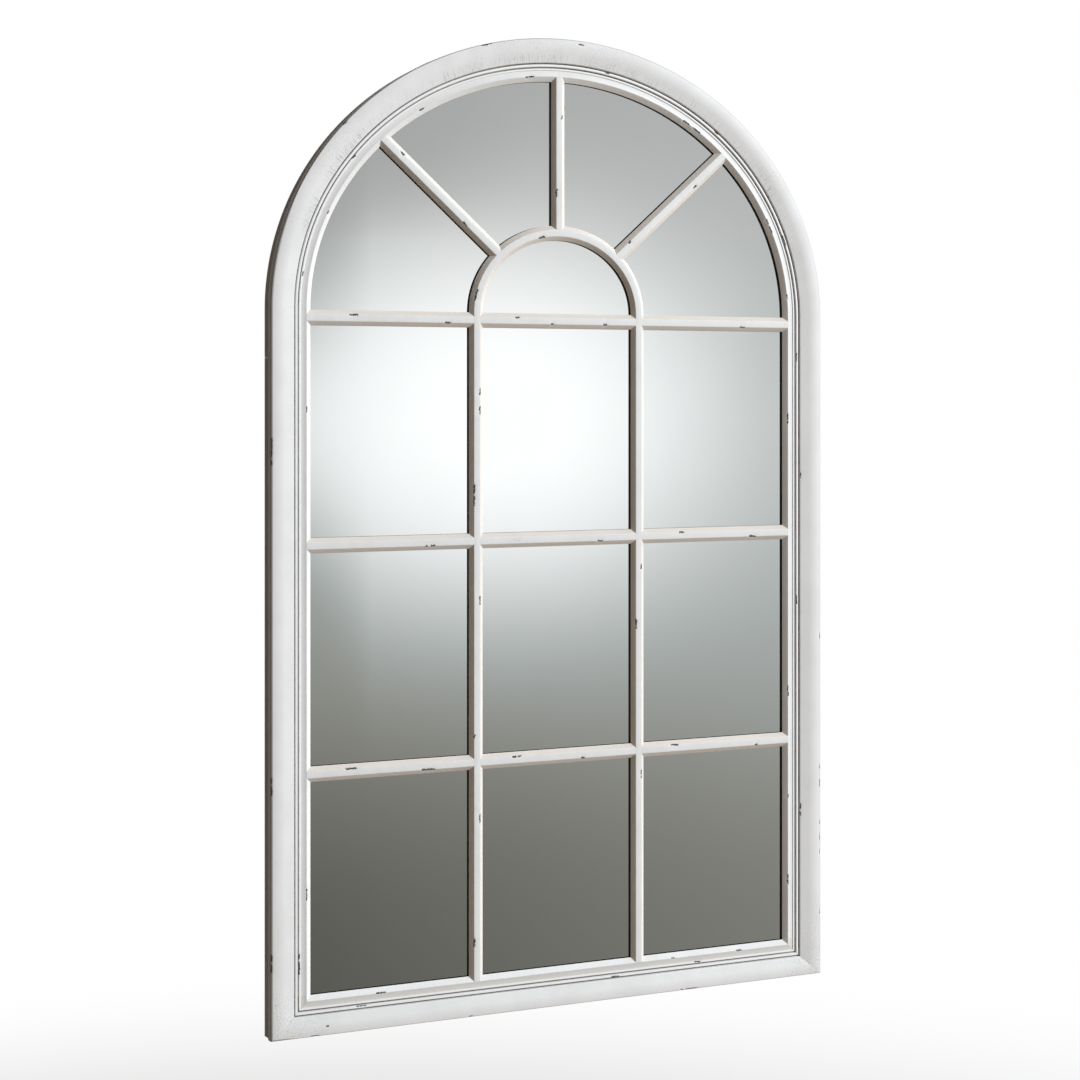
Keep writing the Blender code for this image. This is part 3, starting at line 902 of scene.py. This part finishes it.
# %% Mirror
glass_low, glass_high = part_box("mirror_glass")
glass_back, glass_front = -glass_high.y, -glass_low.y
sheet_edge = half_width - glass_high.x
silver_depth = (glass_front - glass_back) / 1.52


def sheet_outline(inset, count=160):
    foot_line = foot + up_from_foot(inset)
    places = [(half_width - inset, foot_line), (half_width - inset, springline)]
    for turn in between(0, math.pi, count)[1:-1]:
        across, up = math.cos(turn), math.sin(turn)
        normal = Vector((arch_rise * across, half_width * up)).normalized()
        places.append((half_width * across - inset * normal.x,
                       springline + arch_rise * up - inset * normal.y))
    return places + [(inset - half_width, springline), (inset - half_width, foot_line)]


def sheet(name, inset, back, front, finish):
    """A flat sheet with a small flat arris round its front and back."""
    ease = 0.0003
    levels = ((inset + ease, back), (inset, back + ease), (inset, front - ease),
              (inset + ease, front))
    shape = bmesh.new()
    rings = [[shape.verts.new((x, -rise, z)) for x, z in sheet_outline(edge)]
             for edge, rise in levels]
    for lower, upper in zip(rings, rings[1:]):
        for index in range(len(lower)):
            shape.faces.new((lower[index - 1], lower[index], upper[index], upper[index - 1]))
    shape.faces.new(rings[0])
    shape.faces.new(rings[-1])
    bmesh.ops.recalc_face_normals(shape, faces=shape.faces)
    data = bpy.data.meshes.new(name)
    shape.to_mesh(data)
    shape.free()
    data.materials.append(finish)
    made = bpy.data.objects.new(name, data)
    scene_objects.link(made)
    return made


def silvered():
    finish = Finish("silvered_glass")
    dust_and_shade = finish.rise(finish.clouds(5, 4, 0.6), 0.45, 0.75)
    tint = finish.mixed(dust_and_shade, (0.895, 0.915, 0.905), (0.88, 0.90, 0.89))
    return finish.shaded({"Base Color": tint, "Metallic": 1.0,
                          "Roughness": 0.004 + 0.006 * dust_and_shade})


mirror = sheet("mirror_sheet", sheet_edge, glass_back, glass_front - silver_depth, silvered())
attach(mirror, "frame")
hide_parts("mirror_glass")
print("silver lies", round(silver_depth * 1000, 2), "mm behind the face of the glass")

# %% [markdown]
# ## Back frame
#
# Behind the painted face is a plain frame of sawn timber that holds the glass in its rebate.
# It is stained brown, and its outer side was caught by the white paint and wiped. The same
# tree makes it, with a plain section. An arched piece is sawn from straight boards, so its
# grain runs along a chord and not round the bend: each length gets its own grain direction.

# %% Stained timber
def stained_timber(name, grain):
    """Timber whose grain lies at an angle to the level, seen from the front."""
    finish = Finish(name)
    across, up = math.cos(grain), math.sin(grain)
    on = finish.x * across + finish.z * up
    over = finish.z * across - finish.x * up
    waver = finish.clouds(1, 2, 0.5, finish.point(on * 5, over * 12, finish.y * 12)) * 0.012
    board = finish.point(on * 7, (over + waver) * 260, finish.y * 260)
    rings = finish.clouds(1, 3, 0.6, board)
    pores = finish.rise(finish.clouds(1, 2, 0.5, finish.point(on * 45, over * 1300,
                                                              finish.y * 1300)), 0.58, 0.72)
    late_wood, early_wood = (0.105, 0.066, 0.040), (0.235, 0.160, 0.105)
    stain = finish.mixed(finish.rise(rings, 0.3, 0.7), late_wood, early_wood)
    stain = finish.mixed(finish.rise(finish.clouds(9, 3), 0.4, 0.8) * 0.5, stain,
                         (0.085, 0.058, 0.040))
    stain = finish.mixed(pores * 0.7, stain, (0.05, 0.034, 0.024))
    side = finish.rise(finish.own("inset"), 0.0032, 0.0018)
    wiped = finish.rise(finish.clouds(1, 3, 0.6, finish.point(on * 30, over * 300,
                                                              finish.y * 300)), 0.25, 0.75)
    stain = finish.mixed(side * (0.55 + 0.4 * wiped), stain, (0.46, 0.42, 0.36))
    return finish.shaded({
        "Base Color": stain,
        "Roughness": 0.6 + 0.2 * rings,
        "Specular IOR Level": 0.3,
        "Normal": finish.bumped(rings - pores * 0.8, 0.00015),
    })


# %% Back members
back_low, back_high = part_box("back_stile_left")
back_edge = back_low.x + half_width
back_rebate = back_high.x + half_width
back_foot, back_joint = back_low.z, back_high.z + joint_gap
ease = 0.0012
sections["timber"] = [(x, x, rise, 0) for x, rise, _ in eased(
    [(back_edge + ease, 0), (back_edge, ease), (back_edge, -back_low.y),
     (back_rebate, -back_low.y), (back_rebate, 0)], 0.0004)]
sections["timber_rail"] = [(up_from_foot(x), inset, rise, 0)
                           for x, inset, rise, _ in sections["timber"]]
third = math.pi / 3
slit = joint_gap / 2 / half_width
rail_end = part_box("back_rail_bottom")[1].x


def arch_length(start, end):
    return curved(half_width, arch_rise, start, end)


back_members = {
    "back_stile_left": ("timber", straight((-half_width, back_foot),
                                           (-half_width, back_joint - joint_gap)), 90),
    "back_stile_right": ("timber", straight((half_width, back_joint - joint_gap),
                                            (half_width, back_foot)), 90),
    "back_rail_bottom": ("timber_rail", straight((rail_end, foot), (-rail_end, foot)), 0),
    "back_arch_left": ("timber", straight((-half_width, back_joint), (-half_width, springline))
                       [:-1] + arch_length(math.pi, 2 * third), 62),
    "back_arch_crown": ("timber", arch_length(2 * third - slit, third + slit), 0),
    "back_arch_right": ("timber", arch_length(third - slit, 0)[:-1]
                        + straight((half_width, springline), (half_width, back_joint)), -62),
}
for node, (kind, route, grain) in back_members.items():
    finish = stained_timber("stained_timber_" + node[5:], math.radians(grain))
    made = make_member(node, kind, route, square, square, finish, "stained_timber", 0)
print("back members:", len(back_members))

# %% [markdown]
# ## Backing board
#
# A thin sheet of hardboard keeps dust off the silvering. It is pressed from wood fibre, so it
# is an even warm brown with short dark fibres lying every way, and its back carries the fine
# net of the press screen. The CAD shape is right, so only its finish changes.

# %% Fibre board
def fibre_board():
    finish = Finish("fibre_board")
    fibres = finish.clouds(900, 3, 0.7, finish.node(
        "ShaderNodeVectorMath", {"operation": "ADD"},
        {0: finish.place, 1: finish.node("ShaderNodeTexNoise", None,
                                         {"Vector": finish.place, "Scale": 60}, "Color")}))
    cloudy = finish.clouds(7, 4, 0.6)
    dark_board, pale_board = (0.300, 0.195, 0.115), (0.370, 0.250, 0.150)
    brown = finish.mixed(finish.rise(cloudy, 0.3, 0.7), dark_board, pale_board)
    brown = finish.mixed(finish.rise(fibres, 0.55, 0.75) * 0.5, brown, (0.15, 0.09, 0.05))
    brown = finish.mixed(finish.rise(fibres, 0.42, 0.25) * 0.4, brown, (0.52, 0.38, 0.24))
    pitch = 2 * math.pi / 0.0014
    net = (finish.maths("SINE", finish.x * pitch) + finish.maths("SINE", finish.z * pitch)) * 0.25
    return finish.shaded({
        "Base Color": brown,
        "Roughness": 0.72 + 0.15 * cloudy,
        "Specular IOR Level": 0.25,
        "Normal": finish.bumped(net + fibres * 0.5, 0.00008),
    })


def refinish(node, finish):
    """A CAD node that keeps its shape and gets a better finish."""
    frame["nodes"][node].material_slots[0].material = finish


refinish("backing_board", fibre_board())

# %% [markdown]
# ## Clips, straps and rings
#
# The steel is zinc plated: a bluish grey with a soft bloom, fine scratches and a little
# darkening. The clips and the straps are bent from strip, so they are members too: a bent
# section drawn across the width of the strip, with its bends eased. A ring is a round section
# on a closed route.

# %% Zinc plated steel
def zinc_plate(name):
    finish = Finish(name)
    bloom = finish.clouds(120, 4, 0.6)
    spangle = finish.cells(420, feature="F1", output="Color")
    scratch = finish.rise(finish.clouds(1, 2, 0.5, finish.point(
        (finish.x + finish.z) * 2600, (finish.z - finish.x) * 160, finish.y * 900)), 0.62, 0.72)
    bright_zinc, bloomed_zinc = (0.60, 0.61, 0.63), (0.47, 0.47, 0.47)
    grey = finish.mixed(finish.rise(bloom, 0.35, 0.7), bright_zinc, bloomed_zinc)
    grey = finish.mixed(0.06, grey, spangle)
    dull = finish.rise(finish.clouds(45, 3), 0.55, 0.75)
    grey = finish.mixed(dull * 0.5, grey, (0.34, 0.33, 0.31))
    return finish.shaded({
        "Base Color": grey,
        "Metallic": 1 - dull * 0.25,
        "Roughness": 0.28 + 0.2 * bloom + 0.15 * dull - 0.08 * scratch,
        "Normal": finish.bumped(bloom * 0.4 + scratch * -1, 0.00003),
    })


zinc = zinc_plate("zinc_plate")


# %% Clips
clip_low, clip_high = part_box("clip_upper_left")
clip_width = clip_high.z - clip_low.z
strip = 0.0012
clip_in = (clip_low.x + half_width, clip_high.x + half_width)
clip_leg = back_rebate + joint_gap
tongue = clip_low.y


def clip_section():
    points = [(clip_in[0], joint_gap), (clip_leg, joint_gap), (clip_leg, tongue),
              (clip_in[1], tongue), (clip_in[1], tongue + strip),
              (clip_leg + strip, tongue + strip), (clip_leg + strip, joint_gap + strip),
              (clip_in[0], joint_gap + strip)]
    return eased([(inset, -back) for inset, back in points], 0.0007, count=4)


sections["clip"] = [(x, x, rise, 0) for x, rise, _ in clip_section()]
sections["clip_foot"] = [(up_from_foot(x), x, rise, 0) for x, rise, _ in clip_section()]


def clip_route(node):
    """A short line on the outer edge of the frame, centred on a clip."""
    if "arch" in node:
        turn = {"left": math.radians(148), "crown": math.pi / 2,
                "right": math.radians(32)}[node.split("_")[-1]]
        centre = Vector((half_width * math.cos(turn), springline + arch_rise * math.sin(turn)))
        ahead = Vector((half_width * math.sin(turn), -arch_rise * math.cos(turn))).normalized()
    elif "foot" in node:
        centre, ahead = Vector((middle(node, 0), foot)), Vector((-1, 0))
    else:
        side = 1 if node.endswith("right") else -1
        centre, ahead = Vector((side * half_width, middle(node, 2))), Vector((0, -side))
    reach = ahead * clip_width / 2
    return straight(centre - reach, centre + reach)


clips = sorted(node for node in frame["nodes"]
               if node.startswith("clip_") and not node.startswith("clip_screw"))
for node in clips:
    make_member(node, "clip_foot" if "foot" in node else "clip", clip_route(node), square,
                square, zinc, "zinc_steel", 0)
print("clips:", len(clips))

# %% Hangers
strap_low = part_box("hanger_strap_left")[0]
ring_low, ring_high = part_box("hanger_ring_left")
wire = (ring_high.y - ring_low.y) / 2
pivot_back = (ring_low.y + ring_high.y) / 2
strap_sheet = 0.0014
eye = wire + joint_gap
curl = math.radians(275)


def strap_section(count=26):
    turns = between(0, curl, count)
    rows = [(joint_gap, strap_low.z), (joint_gap + strap_sheet, strap_low.z)]
    rows += [(pivot_back - eye * math.cos(turn), eye * math.sin(turn)) for turn in turns]
    outer = eye + strap_sheet - 0.00002
    rows += [(pivot_back - outer * math.cos(turn), outer * math.sin(turn))
             for turn in reversed(turns)]
    return eased([(-up, -back) for back, up in rows], 0.0003, math.radians(40))


def wire_section(count=20):
    turns = [-2 * math.pi * index / count for index in range(count)]
    return [(wire * math.cos(turn), wire * math.sin(turn) - pivot_back) for turn in turns]


def ring_route(centre):
    half = (ring_high.x - ring_low.x) / 2 - wire
    corner, leg = 0.0025, 0.005
    places = []
    for turn in between(0, math.pi / 2, 8):
        places.append((half - corner * (1 - math.sin(turn)), corner * (math.cos(turn) - 1)))
    for turn in between(0, math.pi, 40):
        places.append((half * math.cos(turn), -corner - leg - half * math.sin(turn)))
    for turn in between(0, math.pi / 2, 8):
        places.append((corner * (1 - math.cos(turn)) - half, corner * (math.sin(turn) - 1)))
    return [(centre + x, z) for x, z in places]


sections["strap"] = [(x, x, rise, 0) for x, rise, _ in strap_section()]
sections["wire"] = [(x, x, rise, 0) for x, rise in wire_section()]
for hand in ("left", "right"):
    low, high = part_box("hanger_strap_" + hand)
    make_member("hanger_strap_" + hand, "strap", straight((low.x, 0), (high.x, 0)), square,
                square, zinc, "zinc_steel", 0)
    ring = make_member("hanger_ring_" + hand, "wire", ring_route((low.x + high.x) / 2), square,
                       square, zinc, "zinc_steel", 0, body="ring_" + hand, looped=True)
print("ring faces:", len(ring.data.polygons))

# %% [markdown]
# ## Screws
#
# Thirteen pan head screws hold the clips and the straps. One is turned on its axis, with a
# cross recess cut in its head. Geometry Nodes then sets a copy on each place, turned by a
# different amount, as screws really end up, and makes one plain mesh of them.

# %% Screws
def turned(name, outline, sides, axis=(0, 1, 0)):
    """A closed shape turned about the Y axis, from distances out and along."""
    shape = bmesh.new()
    points = [shape.verts.new((out, along, 0)) for out, along in outline]
    lines = [shape.edges.new(pair) for pair in zip(points, points[1:])]
    bmesh.ops.spin(shape, geom=points + lines, cent=(0, 0, 0), axis=axis,
                   angle=2 * math.pi, steps=sides, use_merge=True)
    bmesh.ops.remove_doubles(shape, verts=shape.verts, dist=1e-6)
    bmesh.ops.recalc_face_normals(shape, faces=shape.faces)
    data = bpy.data.meshes.new(name)
    shape.to_mesh(data)
    shape.free()
    made = bpy.data.objects.new(name, data)
    scene_objects.link(made)
    return made


def pan_head_screw():
    radius, height, shank = 0.0034, 0.0021, 0.0017
    dome = [(radius * math.sin(turn), height * (0.55 + 0.45 * math.cos(turn)))
            for turn in between(0, math.pi / 2, 6)]
    outline = dome + [(radius * 0.995, height * 0.25), (radius * 0.97, 0), (shank, 0),
                      (shank, -0.0085), (0, -0.0125)]
    made = turned("screw_blank", outline, 32)
    recess = bmesh.new()
    for turn in (0, math.pi / 2):
        wing = bmesh.ops.create_cube(recess, size=1)["verts"]
        for point in wing:
            deep = point.co.y < 0
            point.co = Vector((point.co.x * (0.0022 if deep else 0.0040),
                               height * (0.38 if deep else 1.3),
                               point.co.z * (0.0005 if deep else 0.0009)))
        bmesh.ops.rotate(recess, verts=wing, cent=(0, 0, 0),
                         matrix=Matrix.Rotation(turn, 3, "Y"))
    data = bpy.data.meshes.new("screw_recess")
    bmesh.ops.recalc_face_normals(recess, faces=recess.faces)
    recess.to_mesh(data)
    recess.free()
    tool = bpy.data.objects.new("screw_recess", data)
    scene_objects.link(tool)
    cutting = made.modifiers.new("recess", "BOOLEAN")
    cutting.operation = "DIFFERENCE"
    cutting.solver = "EXACT"
    cutting.use_self = True
    cutting.object = tool
    cut_screw = plain_mesh("screw", made, 35)
    for item in (made, tool):
        bpy.data.objects.remove(item)
    return cut_screw


def screw_tree():
    tree = Pattern("screws_on_points", {"Screw": "object", "Seed": "count",
                                        "Finish": "material"})
    blank = tree.node("GeometryNodeObjectInfo", None, {"Object": tree.given("Screw")},
                      "Geometry")
    turn = tree.node("FunctionNodeRandomValue", {"data_type": "FLOAT"},
                     {"Min": 0.0, "Max": math.pi, "Seed": tree.given("Seed")}, 1)
    turn = tree.node("ShaderNodeCombineXYZ", None, {"Y": turn})
    shape = tree.node("GeometryNodeInstanceOnPoints", None,
                      {"Points": tree.given("Geometry"), "Instance": blank,
                       "Rotation": turn})
    tree.closed(shape, tree.given("Finish"))
    return tree


screw_nodes = sorted(node for node in frame["nodes"] if "_screw_" in node)
seats = []
for node in screw_nodes:
    low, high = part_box(node)
    seats.append(((low.x + high.x) / 2, high.y - 0.0021, (low.z + high.z) / 2))
blank = pan_head_screw()
screws = grown("pan_head_screws", line_object("screw_seats", seats, []), screw_tree(),
               {"Screw": blank, "Seed": 3, "Finish": zinc}, 35)
bpy.data.objects.remove(blank)
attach(screws, "frame")
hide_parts(*screw_nodes)
print("screws:", len(screw_nodes), "faces:", len(screws.data.polygons))

# %% [markdown]
# ## Wall pads
#
# Two discs of felt keep the foot of the frame off the wall. Felt has no weave: its fibres lie
# every way, its surface is fuzzy, and its edge is soft. The disc is turned with many rings,
# and each point moves a little by a noise that never changes.

# %% Felt pads
def felt():
    finish = Finish("grey_felt")
    wool = finish.clouds(1600, 3, 0.8)
    tufts = finish.clouds(260, 3, 0.7)
    grey = finish.mixed(finish.rise(wool, 0.35, 0.65), (0.13, 0.13, 0.135), (0.30, 0.30, 0.30))
    grey = finish.mixed(finish.rise(tufts, 0.5, 0.8) * 0.4, grey, (0.40, 0.40, 0.39))
    return finish.shaded({"Base Color": grey, "Roughness": 0.9 + 0.08 * wool,
                          "Specular IOR Level": 0.1,
                          "Normal": finish.bumped(wool + tufts, 0.00025)})


felt_finish = felt()
for hand in ("left", "right"):
    low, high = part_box("wall_pad_" + hand)
    radius, thick = (high.x - low.x) / 2, high.y - low.y
    outline = [(0, 0)] + [(radius * share, 0) for share in between(0, 0.97, 10)[1:]]
    outline += [(radius, thick * share) for share in between(0.06, 0.86, 8)]
    outline += [(radius * (0.985 - 0.05 * share), thick * (0.94 + 0.06 * share))
                for share in (0, 0.5, 1)]
    outline += [(radius * share, thick) for share in between(0.9, 0, 12)]
    pad = turned("felt_pad_" + hand, outline, 72)
    centre = Vector(((low.x + high.x) / 2, low.y, (low.z + high.z) / 2))
    for point in pad.data.vertices:
        spot = point.co + centre
        tuft = noise.noise(spot * 900) + noise.noise(spot * 2500) * 0.6
        inwards = Vector((-point.co.x, 0, -point.co.z))
        if point.co.y > 0.0001:
            sunk = Vector((0, 0.00012 * (1 + tuft), 0)) * (point.co.y > thick * 0.9)
            point.co += inwards * 0.02 * (1 + tuft) - sunk
        point.co += centre
    pad.data.polygons.foreach_set("use_smooth", [True] * len(pad.data.polygons))
    pad.data.materials.append(felt_finish)
    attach(pad, "frame")
    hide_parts("wall_pad_" + hand)
print("pad radius", round(radius, 4), "thickness", round(thick, 4))

# %% Clear the bench
bpy.data.objects.remove(chip_marks)

# %% [markdown]
# ## Studio wall
#
# A mirror shows the room it hangs in, so a room has to be there. A photographer puts a plain
# wall behind the camera and lights a patch of it. This half cylinder does the same: dark grey
# below, light grey above, and one broad bright patch to the right of the camera. Its light is
# written as a formula of the direction and the height, which stays smooth at any size. Its
# values were found by fitting the formula to the brightness of the sheet in the photograph,
# and then rounded. Dark glass looks warm and the middle tones look cool, which three plain
# colours give. Only reflections see the wall, so it neither lights the paint nor stands in
# the picture.

# %% Studio wall
wall_radius, wall_half_height = 2.6, 2.4
patch_turn, patch_height = 22.7, -0.08
patch_breadth, patch_reach, patch_edge, patch_gain = 13, 0.467, 1.38, 0.632
dark_level, grey_gain, grey_height, grey_blend = 0.134, 0.267, -0.81, 0.185
view_turn, side_gain = 26, 0.035
dark_tint, middle_tint = (0.92, 0.91, 0.82), (0.88, 0.92, 0.92)
bright_tint, upper_tint = (0.91, 0.91, 0.92), (0.925, 0.925, 0.92)
def stage_object(name, data, finish):
    data.materials.append(finish)
    made = bpy.data.objects.new(name, data)
    scene_objects.link(made)
    return made


def studio_wall():
    """Emission of the studio wall: grey below, with one broad bright patch."""
    finish = Finish("studio_wall")
    turn = finish.maths("ARCTAN2", finish.x, -finish.y) * (180 / math.pi)
    across = (turn - patch_turn) / patch_breadth
    up = (finish.z - patch_height) / patch_reach
    left_fall = finish.high(-across - 0.45, 0) * up ** 2 * 4
    top_fall = finish.high(up - 0.9, 0) * finish.high(0.2 - across, 0) * 2.5
    out = across ** 2 + up ** 2 + left_fall + top_fall
    patch = finish.maths("EXPONENT", -(out ** patch_edge))
    grey = finish.node("ShaderNodeMath", {"operation": "DIVIDE"},
                       {0: grey_gain, 1: 1 + finish.maths(
                           "EXPONENT", -((finish.z - grey_height) / grey_blend))})
    tilt = finish.high(finish.low((turn - view_turn) / 10, 2), -2) * side_gain
    level = finish.low(dark_level + grey + tilt + patch_gain * patch, 1)
    return finish, level


def stage_wall():
    finish, level = studio_wall()
    tint = finish.node("ShaderNodeValToRGB", {"stops": (
        (0.2, dark_tint), (0.4, middle_tint), (0.95, bright_tint))}, {"Fac": level})
    tint = finish.mixed(finish.rise(finish.z, 0.05, 0.5) * 0.8, tint, upper_tint)
    lamp = finish.node("ShaderNodeEmission", None,
                       {"Color": tint, "Strength": level / 0.9 / 0.91})
    finish.node("ShaderNodeOutputMaterial", None, {"Surface": lamp})
    finish.material.cycles.emission_sampling = "NONE"
    shape = bmesh.new()
    turns = [math.radians(turn) for turn in between(-100, 100, 100)]
    rows = [[shape.verts.new((wall_radius * math.sin(turn), -wall_radius * math.cos(turn), z))
             for turn in turns] for z in (-wall_half_height, wall_half_height)]
    for index in range(len(turns) - 1):
        shape.faces.new((rows[0][index], rows[0][index + 1], rows[1][index + 1],
                         rows[1][index]))
    data = bpy.data.meshes.new("studio_wall")
    shape.to_mesh(data)
    shape.free()
    made = stage_object("studio_wall", data, finish.material)
    made.visible_camera = False
    made.visible_diffuse = False
    made.visible_shadow = False
    made.visible_transmission = False
    return made


stage_wall()
print("studio wall radius:", wall_radius)

# %% [markdown]
# ## Floor and air
#
# The floor is plain and pale, and fades to white with distance, so that it has no edge in
# the picture. To the lamps it is a warmer colour. That sends the warm light of a wooden
# studio floor up to the undersides of the bars. The air is white where the camera or a
# reflection looks at it, and dim and warm where it lights the paint.

# %% Floor and air
def floor():
    finish = Finish("floor")
    rays = finish.tree.nodes.new("ShaderNodeLightPath")
    seen = finish.high(Value(finish, rays.outputs["Is Camera Ray"]),
                       Value(finish, rays.outputs["Is Glossy Ray"]))
    away = finish.maths("SQRT", finish.x * finish.x + finish.y * finish.y)
    white = finish.rise(away, 0.7, 2.2) * seen
    direct = Value(finish, rays.outputs["Is Camera Ray"])
    pale = finish.node("ShaderNodeBsdfDiffuse", None,
                       {"Color": finish.mixed(direct, (0.33, 0.255, 0.185), (0.86, 0.86, 0.85))})
    glow = finish.node("ShaderNodeEmission", None, {"Strength": 1.0})
    both = finish.node("ShaderNodeMixShader", None, {0: white, 1: pale, 2: glow})
    finish.node("ShaderNodeOutputMaterial", None, {"Surface": both})
    finish.material.cycles.emission_sampling = "NONE"
    shape = bmesh.new()
    bmesh.ops.create_circle(shape, cap_ends=True, segments=64, radius=9)
    data = bpy.data.meshes.new("floor")
    shape.to_mesh(data)
    shape.free()
    made = stage_object("floor", data, finish.material)
    made.location.z = foot - 0.45
    made.visible_glossy = False
    return made


floor()

world = bpy.data.worlds.new("studio")
world.use_nodes = True
bpy.context.scene.world = world
air = Graph(world.node_tree)
air.tree.nodes.clear()
rays = air.tree.nodes.new("ShaderNodeLightPath")
seen = air.high(Value(air, rays.outputs["Is Camera Ray"]),
                air.high(Value(air, rays.outputs["Is Glossy Ray"]),
                         Value(air, rays.outputs["Is Transmission Ray"])))
dim = air.node("ShaderNodeBackground", None, {"Color": (1.0, 0.70, 0.40, 1), "Strength": 0.06})
white = air.node("ShaderNodeBackground", None, {"Color": (1, 1, 1, 1), "Strength": 1.0})
both = air.node("ShaderNodeMixShader", None, {0: seen, 1: dim, 2: white})
air.node("ShaderNodeOutputWorld", None, {"Surface": both})
print("floor and air are ready")

# %% [markdown]
# ## Lamps
#
# The shading of the bars says where the light stood. Slopes that face right are the
# brightest, slopes that face left are dark, and undersides are only a little darker than
# the face. One large, far lamp on the right, a little above the mirror, gives just that. A
# weak one behind shows the back of the frame.

# %% Lamps
def lamp(name, turn, lift, distance, size, power, colour=(1, 1, 1), aim=(0, 0, -0.2)):
    """A soft square lamp that stands at a turn to the right, raised, and faces the frame."""
    light = bpy.data.lights.new(name, "AREA")
    light.energy = power
    light.size = size
    light.color = colour
    light.cycles.max_bounces = 1
    made = bpy.data.objects.new(name, light)
    turn, lift = math.radians(turn), math.radians(lift)
    away = Vector((math.cos(lift) * math.sin(turn), -math.cos(lift) * math.cos(turn),
                   math.sin(lift)))
    made.location = Vector(aim) + away * distance
    made.rotation_euler = away.to_track_quat("Z", "Y").to_euler()
    scene_objects.link(made)
    return made


lamp("key", turn=48, lift=21, distance=12, size=4.4, power=1970, colour=(0.90, 0.945, 1.0))
lamp("rear", turn=150, lift=12, distance=5, size=2.0, power=160)
print("lamps:", len(bpy.data.lights))

# %% [markdown]
# ## Camera
#
# The camera looks level from 26 degrees to the left, and sees the frame through a long lens.
# Its place and its lens were found by matching the corners of the frame, the bars and the
# top of the arch. Shifting the lens down instead of tilting it keeps upright lines upright.

# %% Camera
camera_data = bpy.data.cameras.new("camera")
camera_data.lens = camera_lens
camera_data.sensor_width = film_width
camera_data.shift_y = lens_shift
camera_data.clip_end = 50
camera = bpy.data.objects.new("camera", camera_data)
camera.location = camera_place
camera.rotation_euler = camera_aim
scene_objects.link(camera)
bpy.context.scene.camera = camera
bpy.context.scene.view_settings.view_transform = "Standard"
print("lens:", camera_data.lens, "mm")
